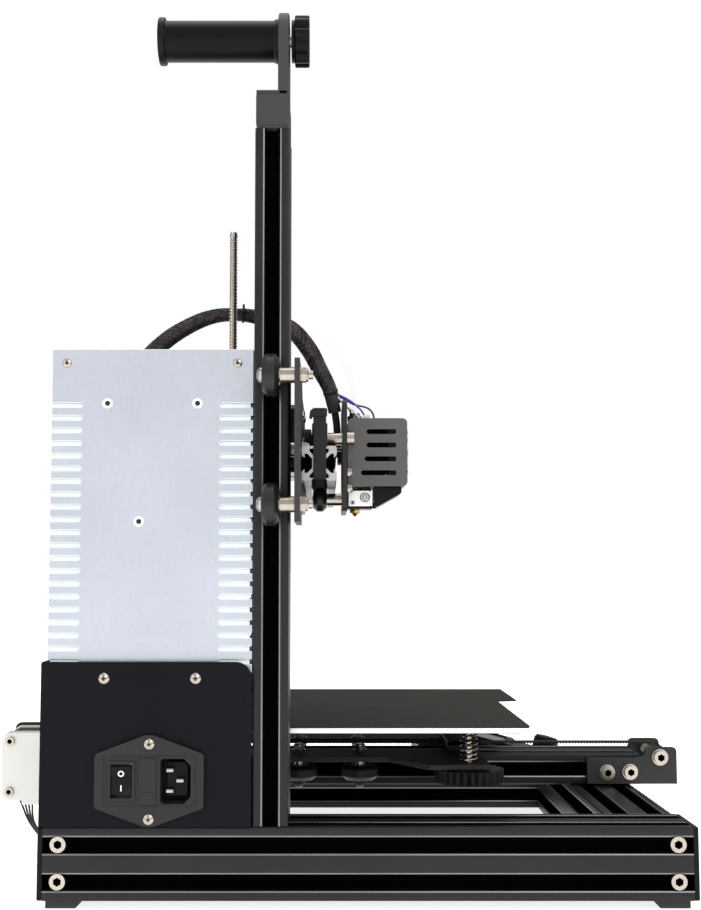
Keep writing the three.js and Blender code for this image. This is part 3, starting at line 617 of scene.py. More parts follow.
def build_y_axis():
    low, high = span("y_beam")
    extrusion("y_beam_profile", "frame", "Y", 2, 1, low, high, ["y_beam"])
    belt_z = 63.4
    toothed_belt("y_belt", "y_toothed_belt", "frame", "X", (Y_IDLER, belt_z), (Y_MOTOR, belt_z), (-3, 3))

    cheek = [(-148, 46.2), *arc(-149.5, 61.5, 1.5, 0, 90, 4), (-178.5, 63.0),
             *arc(-182.5, 67, 3.4, 265, 200, 5), *arc(-188.5, 67, 3, 20, 90, 4),
             *arc(-203.8, 67, 3, 90, 180, 5), (-206.8, 46.2)]
    bracket = Piece("belt_tensioner")
    for x in ((-24, -21.5), (21.5, 24)):
        bracket.prism("X", cheek, *x, bevel=0.35)
    bracket.prism("X", rounded((-206.75, -204.8), (46.2, 66), 0.8), -23.9, 23.9, bevel=0.3)
    bracket.done("frame", SHEET_BLACK, "sheet_black", ["y_tensioner"])
    fixings = Piece("tensioner_screws")
    for side in (-1, 1):
        for y, z, radius in ((-161, 53.6, 4.2), (-176, 54, 4.2), (Y_IDLER, belt_z, 4.4)):
            fixings.cap_screw((side * 24, y, z), (side, 0, 0), radius, 3.2 if side < 0 else 3.0)
            fixings.lathe([(2.4, 0), (radius + 0.9, 0), (radius + 0.9, 0.5), (2.4, 0.5)], (side * 23.9, y, z),
                          (side, 0, 0), closed=True)
    fixings.rod((-23, Y_IDLER, belt_z), (1, 0, 0), 2.4, 46)
    for x in (-20.5, 9):
        fixings.lathe([(2.5, 0), (4, 0), (4, 11.5), (2.5, 11.5)], (x, Y_IDLER, belt_z), (1, 0, 0),
                      closed=True)
    fixings.done("frame", SCREWED, "steel")
    idler = Piece("y_idler_roller")
    idler.lathe([(2.8, -4.9), (6.1, -4.9), (6.1, -3.9), (5.9, -3.4), (5.9, 3.4), (6.1, 3.9), (6.1, 4.9),
                 (2.8, 4.9)], (0, Y_IDLER, belt_z), (1, 0, 0), closed=True)
    idler.done("y_idler", SCREWED, "steel", ["y_idler"])

    plate = Piece("y_motor_plate")
    plate.prism("X", rounded((140, 227), (46, 86), 4), -24.2, -21.2, bevel=0.35,
                holes=[ring(Y_MOTOR, belt_z, 11.3, 40)])
    plate.done("frame", SHEET_BLACK, "sheet_black", ["y_motor_bracket"])
    plate_screws = Piece("y_motor_screws")
    for y, z in ((150, 55.3), (170, 55.3)):
        plate_screws.cap_screw((-24.2, y, z), (-1, 0, 0), 4.2, 4)
    low, high = span("y_motor")
    for dy in (-15.5, 15.5):
        for dz in (-15.5, 15.5):
            plate_screws.cap_screw((-21.2, Y_MOTOR + dy, belt_z + dz), (1, 0, 0), 2.7, 2.4)
            plate_screws.cap_screw((low.x + 0.05, Y_MOTOR + dy, belt_z + dz), (-1, 0, 0), 2.8, 0.9)
    plate_screws.done("frame", SCREWED, "steel")
    stepper("y_stepper", "frame", "bare_aluminium", low + Vector((0.9, 0, 0)), high, "X")
    also_replaces("y_motor")
    plug = Piece("y_motor_socket")
    plug.box((-58, -44), (low.y + 12, high.y - 12), (low.z - 3.4, low.z + 0.4), 0.5)
    plug.done("frame", PALE_CASTING, "bare_aluminium")
    leads = Piece("y_motor_leads")
    for i in range(4):
        y = 209 + 2.6 * i
        route = [(-51, y, low.z - 2), (-51, y - 0.4 * i, 38), (-51 + i * 0.4, 208 + 1.2 * i, 28),
                 (-50 + i * 0.4, 202 + 0.8 * i, 18), (-50, 196 + 0.5 * i, 12), (-50, 188 + i * 0.3, 9.5)]
        leads.sweep(smooth_path(route, 20), 0.65, 8)
    leads.done("frame", WIRE["black"], "plastic_black")
    pulley = Piece("y_drive_pulley")
    toothed_pulley(pulley, (-5, Y_MOTOR, belt_z), (1, 0, 0), 11)
    pulley.rod((-24, Y_MOTOR, belt_z), (1, 0, 0), 2.4, 30)
    pulley.done("y_pulley", SCREWED, "steel", ["y_pulley"])


def also_replaces(node):
    """Hides one more CAD node, which a piece already made stands for."""
    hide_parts(node)


# ---------- upright and spool holder ----------
SPOOL_X, SPOOL_Z = -138.0, 500.0


def build_upright():
    extrusion("upright_profile", "frame", "Z", 2, 1, *span("upright"), ["upright"])
    low, high = span("upright_cap")
    # The cap and the bracket below take the darker copy of the grey plastic, as painted shade.
    cap = Piece("top_cap")
    cap.box((low.x, high.x), (low.y, high.y), (low.z + 1.6, high.z), 0.9, steps=3)
    cap.box((low.x + 0.9, high.x - 0.9), (low.y + 0.9, high.y - 0.9), (low.z, low.z + 2), 0.3)
    cap.done("frame", GREY_PLASTIC_SHADED, "plastic_grey", ["upright_cap"])

    low, high = span("spool_arm")
    bottom = low.z
    top = arc(SPOOL_X, 496, 20, 0, 180, 28)
    arm = Piece("spool_bracket")
    arm.prism("Y", [(-158, bottom), (-118, bottom), *top], 44.8, 51, bevel=1.0, steps=3)
    arm.box((-158, -118), (44.8, 63.5), (bottom, bottom + 3), 0.6)
    arm.done("frame", GREY_PLASTIC_SHADED, "plastic_black", ["spool_arm"])
    fixings = Piece("spool_bracket_screws")
    for x in (-148, -128):
        fixings.button_screw((x, 57.5, bottom + 3), (0, 0, 1), 3.6, 2)
    fixings.rod((SPOOL_X, 43, SPOOL_Z), (0, 1, 0), 4, 9)
    fixings.done("frame", SCREWED, "steel")

    tube = Piece("spool_spindle")
    tube.lathe([(10, 0.3), (12.9, 0.3), (12.9, 1.6), (12.3, 2.4), (12.0, 3.6), (12.0, 66.4), (12.3, 67.2),
                (13.7, 67.6), (14.0, 68.3), (14.0, 70.7), (13.5, 71.3), (12.6, 71.3), (11.6, 70.8),
                (10.4, 69.2), (10, 67)], (SPOOL_X, 51, SPOOL_Z), (0, 1, 0), 72, closed=True)
    tube.lathe([(0, 0.4), (10.2, 0.4), (10.2, 3), (0, 3)], (SPOOL_X, 51, SPOOL_Z), (0, 1, 0), 48)
    tube.done("frame", PLASTIC, "plastic_black", ["spool_tube"])

    knob = Piece("clamping_knob")
    knob.prism("Y", fluted(SPOOL_X, SPOOL_Z, 15, 2.0, 10, 10), 32.9, 41.6, bevel=0.9, steps=3, limit=50)
    knob.lathe([(0, 0), (11.5, 0), (12.4, 0.6), (12.4, 2.2), (0, 2.2)], (SPOOL_X, 41.3, SPOOL_Z), (0, 1, 0))
    knob.done("spool_knob", PLASTIC, "plastic_black", ["spool_knob"])


# ---------- power supply ----------
VENT = {"first": 278.9, "pitch": 7.2, "rows": 25, "height": 2.6, "long": (20.0, 18.5)}


def notched(a0, a1, b0, b1, rows, reach_low, reach_high, height):
    """A rectangle whose two sides are notched at the given heights, with round inner ends."""
    points = [(a0, b0), (a1, b0)]
    for z in sorted(rows):
        if reach_high:
            points += [(a1, z - height / 2), *arc(a1 - reach_high, z, height / 2, 270, 90, 6),
                       (a1, z + height / 2)]
    points += [(a1, b1), (a0, b1)]
    for z in sorted(rows, reverse=True):
        if reach_low:
            points += [(a0, z + height / 2), *arc(a0 + reach_low, z, height / 2, 90, -90, 6),
                       (a0, z - height / 2)]
    return points


def build_power():
    low, high = span("psu_case")
    rows = [VENT["first"] - i * VENT["pitch"] for i in range(VENT["rows"])]
    rows = [z for z in rows if z > low.z + 6]
    wall = 1.1
    case = Piece("supply_case")
    near, far = VENT["long"]
    # The bevels of the front wall take the near-white second material: a painted highlight along the case
    # edges.
    case.prism("X", notched(low.y, high.y, low.z, high.z, rows, near - 2.5, far - 2.5, VENT["height"]),
               low.x, low.x + wall, bevel=0.28, edge_material=1)
    case.prism("X", notched(low.y, high.y, low.z, high.z, rows[::3], 12, 12, VENT["height"]),
               high.x - wall, high.x, bevel=0.28)
    for y in ((low.y, low.y + wall), (high.y - wall, high.y)):
        case.prism("Y", notched(low.x + wall, high.x - wall, low.z, high.z, rows, 5, 0, VENT["height"]), *y)
    case.box((low.x + 0.3, high.x - 0.3), (low.y + 0.3, high.y - 0.3), (high.z - wall, high.z), 0.3)
    case.done("frame", [SHEET_ALUMINIUM, CASE_HIGHLIGHT], "bare_aluminium", ["psu_case"])

    # The vent floors and the sheet behind them are near-white: painted light seen through the vents.
    lining = Piece("supply_louvres")
    for z in rows:
        for y0, y1 in ((low.y + 1.4, low.y + near - 1.2), (high.y - far + 1.2, high.y - 1.4)):
            lining.prism("Y", [(low.x + 0.55, z - 1.9), (low.x + 2.2, z - 1.9), (low.x + 2.2, z + 2.0),
                               (low.x + 1.7, z + 2.0)], y0, y1)
    lining.box((low.x + 4.2, low.x + 4.8), (low.y + 2, high.y - 2), (low.z + 2, high.z - 2), 0)
    lining.done("frame", CASE_HIGHLIGHT, "bare_aluminium")

    fan = Piece("supply_fan")
    fan_y, fan_z = (low.y + high.y) / 2, low.z + 120
    fan.prism("X", rounded((fan_y - 30, fan_y + 30), (fan_z - 30, fan_z + 30), 4), high.x - 12,
              high.x - wall - 0.2, holes=[ring(fan_y, fan_z, 28, 40)])
    for i in range(7):
        t0 = 2 * math.pi * i / 7
        blade = [(fan_y + r * math.cos(t0 + s), fan_z + r * math.sin(t0 + s))
                 for r, s in ((9, 0), (27, 0.1), (27, 0.75), (9, 0.6))]
        fan.prism("X", blade, high.x - 8, high.x - 6.5, bevel=0.2)
    fan.rod((high.x - 11, fan_y, fan_z), (1, 0, 0), 10, 7)
    fan.done("frame", PLASTIC, "plastic_black")

    screws = Piece("supply_screws")
    for y, z in ((high.y - 8.4, 303), (low.y + 8.9, 303)):
        screws.button_screw((low.x - 0.02, y, z), (-1, 0, 0), 2.6, 1.1)
    screws.done("frame", SCREWED, "steel")
    # Each hole is a near-white ring, a painted highlight, round a dark centre, which is painted shade.
    inserts = Piece("supply_threaded_holes")
    for y, z in ((147, 280), (96, 280), (128.5, 213)):
        inserts.lathe([(1.5, -0.9), (2.9, -0.9), (2.9, 0.12), (1.9, 0.32), (1.5, 0.1)], (low.x, y, z),
                      (-1, 0, 0), 28, closed=True)
        inserts.lathe([(0, -0.5), (1.55, -0.5), (1.55, 0.03), (0, 0.03)], (low.x, y, z), (-1, 0, 0), 20,
                      material=1)
    inserts.done("frame", [CASE_HIGHLIGHT, RECESS_SHADE], "bare_aluminium")
    build_cover()
    build_inlet()


def build_cover():
    low, high = span("psu_cover")
    corner, face = 9.0, low.x
    outline = [(low.y, low.z), (high.y, low.z), *arc(high.y - 1.2, high.z - 1.2, 1.2, 0, 90, 4),
               *arc(low.y + corner, high.z - corner, corner, 90, 180, 10)]
    window = [(93, 56), (147.4, 56), (147.4, 86), (93, 86)]
    cover = Piece("supply_cover")
    cover.prism("X", outline, face, face + 2, holes=[window], bevel=0.35)
    cover.box((face + 1.9, -125), (high.y - 1.9, high.y), (low.z, high.z), 0.4)
    cover.box((face + 1.9, -125), (low.y, high.y), (low.z, low.z + 2), 0.3)
    cover.done("frame", COVER_BLACK, "sheet_black", ["psu_cover"])
    screws = Piece("cover_screws")
    for y in (146, 95.3):
        screws.button_screw((face, y, 126), (-1, 0, 0), 3.4, 2.0)
    for z in (90.5, 50):
        screws.button_screw((-165.2, 120.2, z), (-1, 0, 0), 3.1, 1.3)
    for y, z in ((high.y, 118), (high.y, 60)):
        screws.button_screw((-142, y, z), (0, 1, 0), 2.8, 0.9)
    screws.done("frame", SCREWED, "steel")


def build_inlet():
    outer, back = -165.2, -162.6
    flange = [*arc(146.8, 58, 3.4, 0, -45, 4), *arc(122, 49, 3, -60, -90, 3),
              *arc(118.4, 49, 3, -90, -120, 3), *arc(93.6, 58, 3.4, 225, 180, 4),
              *arc(93.6, 83, 3.4, 180, 135, 4), *arc(118.4, 92.3, 3, 120, 90, 3),
              *arc(122, 92.3, 3, 90, 60, 3), *arc(146.8, 83, 3.4, 45, 0, 4)]
    rocker_hole = [(129, 61), (141.6, 61), (141.6, 80.2), (129, 80.2)]
    socket = [(101, 58.2), (112.6, 58.2), (114, 59.6), (114, 81.2), (112.6, 82.6), (101, 82.6),
              (97.2, 78.6), (97.2, 62)]
    plate = Piece("inlet_flange")
    plate.prism("X", flange, outer, back, holes=[rocker_hole, socket], bevel=0.5)
    frame_outer = rounded((94.6, 145.6), (56.6, 84.2), 1.6, 3)
    frame_inner = rounded((95.3, 144.9), (57.3, 83.5), 1.2, 3)
    plate.prism("X", frame_outer, outer - 0.35, outer + 0.3, holes=[frame_inner], bevel=0.12)
    bezel_in = [(129.4, 61.4), (141.2, 61.4), (141.2, 79.8), (129.4, 79.8)]
    plate.prism("X", rounded((127.9, 142.7), (59.9, 81.3), 0.8, 3), outer - 0.9, outer + 0.3,
                holes=[bezel_in], bevel=0.25)
    plate.box((outer - 0.8, outer + 0.2), (116.3, 125.6), (57.6, 83), 0.3)
    plate.box((outer - 1.2, outer - 0.6), (117.6, 124.3), (60.5, 64.5), 0.25)
    walls = [(112.6, 57.2), (115, 59.2), (115, 81.6), (113, 83.6), (100.6, 83.6), (96.2, 79), (96.2, 61.6),
             (100.6, 57.2)]
    plate.prism("X", walls, back - 0.5, -147, holes=[socket])
    plate.prism("X", walls, -148.5, -147)
    plate.prism("X", rounded((128.2, 142.4), (60.2, 81), 0.6, 2), back - 0.3, -145, holes=[rocker_hole])
    plate.done("frame", INLET_PLASTIC, "plastic_black", ["power_inlet"])
    # The socket's core takes the darker black plastic rather than the inlet's plastic, as painted shade
    # inside the socket.
    core = Piece("inlet_socket_core")
    core.prism("X", [(100.4, 61), (111.4, 61), (111.4, 79.8), (101.4, 79.8), (99.6, 77.6), (99.6, 63.4)],
               -156, -148, bevel=0.5)
    core.done("frame", PLASTIC, "plastic_black")
    pins = Piece("inlet_pins")
    for y, z in ((109, 76), (103.4, 70.4), (109, 64.8)):
        pins.box((-162.6, -150), (y - 2, y + 2), (z - 1, z + 1), 0.45)
    pins.done("frame", SCREWED, "steel")

    rocker = Piece("mains_rocker")
    wedge = [(-167.1, 78.5), (-165.3, 70.8), (-165.6, 62.9), (-159, 62.9), (-159, 78.5)]
    rocker.prism("Y", wedge, 129.7, 140.9, bevel=0.6, steps=3)
    rocker.done("rocker_switch", PLASTIC, "plastic_black", ["rocker_switch"])
    marks = Piece("rocker_marks")
    upper = -165.3 - 1.8 * (74.8 - 70.8) / 7.7
    marks.lathe([(1.05, 0), (1.75, 0), (1.75, 0.35), (1.05, 0.35)], (upper + 0.1, 135.3, 74.8),
                (-1, 0, -0.23), 24, closed=True)
    marks.box((-165.7, -165.3), (134.95, 135.65), (65.2, 68.4), 0.05)
    marks.done("rocker_switch", WHITE, "plastic_black")


def build_z_drive():
    low, high = span("z_motor")
    stepper("z_stepper", "frame", "sheet_black", low, high, "Z", shell=DARK_STEEL)
    also_replaces("z_motor")
    low, high = span("leadscrew")
    screw = Piece("threaded_leadscrew")
    middle = ((low.x + high.x) / 2, (low.y + high.y) / 2)
    pitch, root, crest = 2.0, 2.0, 2.4
    profile_points = [(0, low.z)]
    turns = int((high.z - low.z - 2) / pitch)
    for i in range(turns):
        z = low.z + 1 + i * pitch
        profile_points += [(root, z), (root, z + 0.7), (crest, z + 1.05), (crest, z + 1.55)]
    profile_points += [(root, high.z - 0.6), (root - 0.5, high.z), (0, high.z)]
    screw.lathe(profile_points, (*middle, 0), (0, 0, 1), 20)
    screw.done("leadscrew", SCREWED, "steel", ["leadscrew"])
    coupling = Piece("leadscrew_coupling")
    coupling.lathe([(2.6, 0), (6.4, 0), (6.8, 0.5), (6.8, 9.5), (6.4, 10), (2.6, 10)],
                   (*middle, 81.5), (0, 0, 1), closed=True)
    coupling.done("leadscrew", ALUMINIUM, "bare_aluminium")


# ---------- wheels ----------
def v_wheel(node, body, origin, axis, mini=False):
    """A polymer V wheel with its two bearings, about an axle through origin."""
    if mini:
        rim, shoulder, half, tip, race = 7.6, 5.6, 4.3, 2.2, 4.6
    else:
        rim, shoulder, half, tip, race = 12.0, 9.7, 4.8, 2.7, 7.4
    edge = 0.5
    tyre = Piece(f"{node}_tyre")
    tyre.lathe([(race, -half), (shoulder - edge, -half), (shoulder, -half + edge * 0.6),
                (rim - edge, -tip - 0.2), (rim, -tip + edge), (rim, tip - edge), (rim - edge, tip + 0.2),
                (shoulder, half - edge * 0.6), (shoulder - edge, half), (race, half)], origin, axis, 56,
               closed=True)
    tyre.done(body, RUBBER, "rubber", [node])
    bearing = Piece(f"{node}_bearings")
    bore = 2.85
    for side in (-1, 1):
        h = side * (half + 0.05)
        inner = side * (half - 2.2)
        bearing.lathe([(bore, inner), (bore, h), (bore + 1.1, h), (bore + 1.2, h - side * 0.4),
                       (race - 1.1, h - side * 0.4), (race - 1.0, h - side * 0.05), (race, h - side * 0.05),
                       (race, inner)], origin, axis, 40, closed=True)
    bearing.done(body, STEEL, "steel")


UPRIGHT_Y = 53.9


# ---------- Z carriage and X beam ----------
Z_WHEELS = (("z_wheel_high", -170.5, 294.3), ("z_wheel_low", -170.5, 222), ("z_wheel_inner", -109.5, 258))


def build_gantry():
    outline = [(-184, 212), (-122, 212), (-122, 223), (-8, 223), (-8, 290), (-100, 290), (-122, 302),
               (-184, 302)]
    low, high = span("z_plate")
    front, rear = 37.4, 40.4
    screw = span("leadscrew")
    screw_x, screw_y = (screw[0].x + screw[1].x) / 2, (screw[0].y + screw[1].y) / 2
    belt_x, belt_z = -75, 266.5
    plate = Piece("z_carriage_plate")
    slots = [ring(belt_x, belt_z, 3.2, 24), ring(-150, 258, 5, 28), rounded((-118, -104), (240, 246), 2.5, 4)]
    plate.prism("Y", outline, front, rear, holes=slots, bevel=0.35)
    plate.box((-117, -101), (rear - 0.1, 88), (225, 228), 0.4)
    plate.prism("Z", rounded((-134, -101), (rear - 0.1 + 31, 88), 3, 4), 225.2, 228.2,
                holes=[ring(screw_x, screw_y, 3.4, 24)], bevel=0.3)
    plate.done("gantry", SHEET_BLACK, "sheet_black", ["z_plate"])
    nut = Piece("leadscrew_nut")
    nut.lathe([(2.9, 0), (5.1, 0), (5.1, 3.8), (9.4, 3.8), (9.4, 6.6), (5.1, 6.6), (5.1, 12), (2.9, 12)],
              (screw_x, screw_y, 221), (0, 0, 1), closed=True)
    nut.done("gantry", BRASS, "brass")

    fixings = Piece("z_wheel_axles")
    for _, x, z in Z_WHEELS:
        fixings.lathe([(2.45, 0), (4.5, 0), (4.5, 8.3), (2.45, 8.3)], (x, rear, z), (0, 1, 0), 36,
                      closed=True)
        fixings.rod((x, front - 7.2, z), (0, 1, 0), 2.4, 30)
        fixings.button_screw((x, 59.0, z), (0, 1, 0), 4.6, 3.0)
        fixings.nut((x, front, z), (0, -1, 0), 4.7, 4.6, 2.45)
        fixings.lathe([(2.45, 0), (5.0, 0), (5.0, 0.6), (2.45, 0.6)], (x, front, z), (0, -1, 0), closed=True)
    for x, z in ((-140, 240), (-140, 252), (-122, 246.5 - 6), (-122, 246.5 + 6)):
        fixings.button_screw((x, front, z), (0, -1, 0), 3.6, 1.6)
    fixings.done("gantry", SCREWED, "steel")
    for node, x, z in Z_WHEELS:
        v_wheel(node, node, (x, UPRIGHT_Y, z), (0, 1, 0))

    extrusion("x_beam_profile", "gantry", "X", 1, 1, (-150, 17, 236.5), (172, 37, 256.5), ["x_beam"])
    strap = Piece("x_beam_end_strap")
    strap.prism("Y", [(-152, 238.5), (-150.1, 237), (-150.1, 274), (-152, 274)], 23, 30.4, bevel=0.3)
    strap.prism("X", [(32.8, 272.2), (31.4, 271.8), (30.4, 273.4), (23, 273.4), (22.4, 273.6),
                      (22.4, 277.4), (23.6, 278), (30.2, 278), (32.2, 276.4)], -153.4, -149.2, bevel=0.3)
    strap.done("gantry", BELT, "rubber")
    bracket = Piece("x_idler_bracket")
    bracket.prism("Y", rounded((150, 172), (238, 276), 2.5, 4), 37, 40.4, bevel=0.35)
    bracket.done("gantry", SHEET_BLACK, "sheet_black")
    fixings = Piece("x_idler_screws")
    for x in (156, 166):
        fixings.cap_screw((x, 40.4, 246.5), (0, 1, 0), 4, 3.2)
    fixings.cap_screw((163, 40.4, belt_z), (0, 1, 0), 4, 3.2)
    fixings.rod((163, 29.3, belt_z), (0, 1, 0), 2.4, 11.5)
    fixings.nut((163, 32.0, belt_z), (0, -1, 0), 4.4, 2.8, 2.4)
    fixings.done("gantry", SCREWED, "steel")
    toothed_belt("x_belt", "x_toothed_belt", "gantry", "Y", (belt_x, belt_z), (163, belt_z), (32.4, 36.8))
    idler = Piece("x_idler_roller")
    idler.lathe([(2.8, 0), (6.1, 0), (6.1, 0.5), (5.9, 0.8), (5.9, 3.7), (6.1, 4.0), (6.1, 4.5), (2.8, 4.5)],
                (163, 32.35, belt_z), (0, 1, 0), closed=True)
    idler.done("x_idler", SCREWED, "steel", ["x_idler"])
    pulley = Piece("x_drive_pulley")
    toothed_pulley(pulley, (belt_x, 32.35, belt_z), (0, 1, 0), 4.5)
    pulley.rod((belt_x, 32.2, belt_z), (0, 1, 0), 2.4, 8)
    pulley.done("x_pulley", SCREWED, "steel", ["x_pulley"])

    for name, title in (("x_motor", "x_stepper"), ("extruder_motor", "extruder_stepper")):
        low, high = span(name)
        stepper(title, "gantry", "sheet_black", low, high, "Y", shell=DARK_STEEL)
        also_replaces(name)
        screws = Piece(f"{title}_screws")
        middle = ((low.x + high.x) / 2, (low.z + high.z) / 2)
        for dx in (-15.5, 15.5):
            for dz in (-15.5, 15.5):
                if name == "x_motor" or dz < 0:
                    screws.button_screw((middle[0] + dx, front, middle[1] + dz), (0, -1, 0), 2.8, 1.4)
        screws.done("gantry", SCREWED, "steel")
        socket = Piece(f"{title}_socket")
        socket.box((middle[0] - 8, middle[0] + 8), (high.y - 11, high.y - 4), (low.z - 3.4, low.z + 0.3), 0.5)
        socket.done("gantry", PALE_CASTING, "bare_aluminium")

    low, high = span("extruder_body")
    body = Piece("extruder_housing")
    body.prism("Y", rounded((low.x, high.x), (247, 287), 2.5, 4), 75, 80, bevel=0.5)
    body.box((-37, -32.8), (79.9, 90), (250, 272), 0.6)
    body.box((-29.2, -25), (79.9, 90), (250, 272), 0.6)
    body.box((-37, -25), (79.9, 83), (250, 272), 0.4)
    body.box((-50, -40), (79.9, 88), (248, 262), 0.8)
    body.box((-36.4, -25.6), (75, 79.8), (285, 292.4), 0.5)
    body.prism("Z", rounded((-36.4, -25.6), (75, 92), 2, 3), 290.5, 292.4, holes=[ring(-31, 85, 2.2, 24)],
               bevel=0.3)
    body.done("gantry", SHEET_BLACK, "sheet_black", ["extruder_body"])
    drive = Piece("extruder_gear")
    teeth = 28
    gear = [(-38.2 + r * math.cos(t), 268.5 + r * math.sin(t)) for t, r in
            ((2 * math.pi * i / (2 * teeth), 5.2 if i % 2 else 4.7) for i in range(2 * teeth))]
    drive.prism("Y", gear, 81, 88, bevel=0.1)
    drive.rod((-38.2, 79, 268.5), (0, 1, 0), 2.5, 10)
    drive.rod((-16, 79.5, 281), (0, 1, 0), 2.4, 11.3)
    drive.cap_screw((-45, 88, 255), (0, 1, 0), 2.8, 1.6)
    drive.done("gantry", BRASS, "brass")
    lever = Piece("extruder_latch")
    lever.prism("Z", [(-56, 80.3), (-11, 80.3), (-11, 90), (-50, 90), (-56, 87)], 276.1, 286, bevel=0.8,
                holes=[ring(-31, 85, 3.2, 24)])
    lever.done("extruder_lever", SHEET_BLACK, "sheet_black", ["extruder_lever"])


# ---------- X carriage ----------
HEAD = Vector((-65, 4.8, 0))
FAN_Z = 259


def build_carriage():
    front, rear, beam_y = 10, 13, 27
    wheels = (("x_wheel_left", -84, 267, False), ("x_wheel_right", -40, 267, False),
              ("x_wheel_low", -62, 230.3, True))
    plate = Piece("x_carriage_plate")
    plate.prism("Y", rounded((-92, -16), (222, 291), 4), front, rear, bevel=0.4,
                holes=[ring(-52, 283, 3, 24), rounded((-34, -24), (240, 246), 2.4, 4)])
    plate.box((-26, -18), (12.9, 36.9), (260.7, 266), 0.5)
    plate.box((-30, -14), (12.9, 15.5), (256, 270), 0.6)
    plate.done("x_carriage", SHEET_BLACK, "sheet_black", ["x_plate"])
    axles = Piece("x_wheel_axles")
    for node, x, z, mini in wheels:
        inner = beam_y - (4.4 if mini else 4.9)
        axles.lathe([(2.45, 0), (3.9, 0), (3.9, inner - rear - 0.1), (2.45, inner - rear - 0.1)],
                    (x, rear, z), (0, 1, 0), 32, closed=True)
        axles.rod((x, rear - 2, z), (0, 1, 0), 2.4, beam_y + 4.8 - rear + 2)
        if not (-85 < x < -45 and z > 237 and mini is False):
            axles.button_screw((x, front, z), (0, -1, 0), 4.2, 2.6)
        v_wheel(node, node, (x, beam_y, z), (0, 1, 0), mini)
    axles.cap_screw((-86.6, front, 267), (0, -1, 0), 4.2, 4.4)
    axles.nut((-88, front, 246), (0, -1, 0), 3.1, 3.4, 1.6)
    axles.nut((-88, front, 236), (0, -1, 0), 3.1, 3.4, 1.6)
    axles.done("x_carriage", SCREWED, "steel")

    x = (HEAD.x - 20, HEAD.x + 20)
    skin = 1.6
    side = rounded((-27.5, 9.6), (237.6, 280), 3, 8)
    louvres = [rounded((-20.6, y), (z - 1.55, z + 1.55), 1.45, 6)
               for z, y in ((271.6, -2.2), (263.2, -2.2), (254.6, -0.9), (245.9, 1.3))]
    shroud = Piece("shroud")
    for wall in ((x[0], x[0] + skin), (x[1] - skin, x[1])):
        shroud.prism("X", side, *wall, holes=louvres, bevel=0.3)
    inner_side = rounded((-27.5 + skin, 9.6 - skin), (237.6 + skin, 280 - skin), 1.6, 6)
    shroud.prism("X", side, x[0] + 0.8, x[1] - 0.8, holes=[inner_side])
    shroud.done("x_carriage", GREY_PLASTIC, "plastic_grey", ["fan_shroud"])
    # A near-black sheet inside the shroud, behind its louvres: painted shade.
    shade_sheet = Piece("shroud_shade_sheet")
    shade_sheet.box((x[0] + 2.4, x[0] + 3.2), (-14, 7.6), (240, 277.6), 0.2)
    shade_sheet.done("x_carriage", SLOT_SHADE, "plastic_black")
    fan = Piece("hot_end_fan")
    fan.prism("Y", rounded((x[0] + 3, x[1] - 3), (241.5, 276.5), 3), -25.7, -16,
              holes=[ring(HEAD.x, FAN_Z, 15.6, 48)], bevel=0.3)
    for i in range(7):
        t0 = 2 * math.pi * i / 7
        blade = [(HEAD.x + r * math.cos(t0 + s), FAN_Z + r * math.sin(t0 + s))
                 for r, s in ((6, 0), (14.8, 0.15), (14.8, 0.8), (6, 0.6))]
        fan.prism("Y", blade, -22, -20.4, bevel=0.15)
    fan.rod((HEAD.x, -24.8, FAN_Z), (0, 1, 0), 7, 8)
    for i in range(4):
        t = math.pi / 4 + i * math.pi / 2
        fan.sweep([Vector((HEAD.x + r * math.cos(t), -17, FAN_Z + r * math.sin(t))) for r in (4, 10, 16)],
                  0.8, 8)
    fan.done("x_carriage", PLASTIC, "plastic_black")
    grille = Piece("fan_grille")
    for radius in (5.5, 9.5, 13.5):
        loop = [Vector((px, -27.9, pz)) for px, pz in ring(HEAD.x, FAN_Z, radius, 40)]
        grille.sweep([*loop, loop[0]], 0.45, 8)
    for i in range(4):
        t = math.pi / 4 + i * math.pi / 2
        grille.sweep([Vector((HEAD.x + r * math.cos(t), -27.6, FAN_Z + r * math.sin(t)))
                      for r in (5, 11, 17.5)], 0.45, 8)
        grille.button_screw((HEAD.x + 17.6 * math.cos(t), -27.4, FAN_Z + 17.6 * math.sin(t)),
                            (0, -1, 0), 2, 1)
    grille.done("x_carriage", SCREWED, "steel")
    build_hot_end(x)


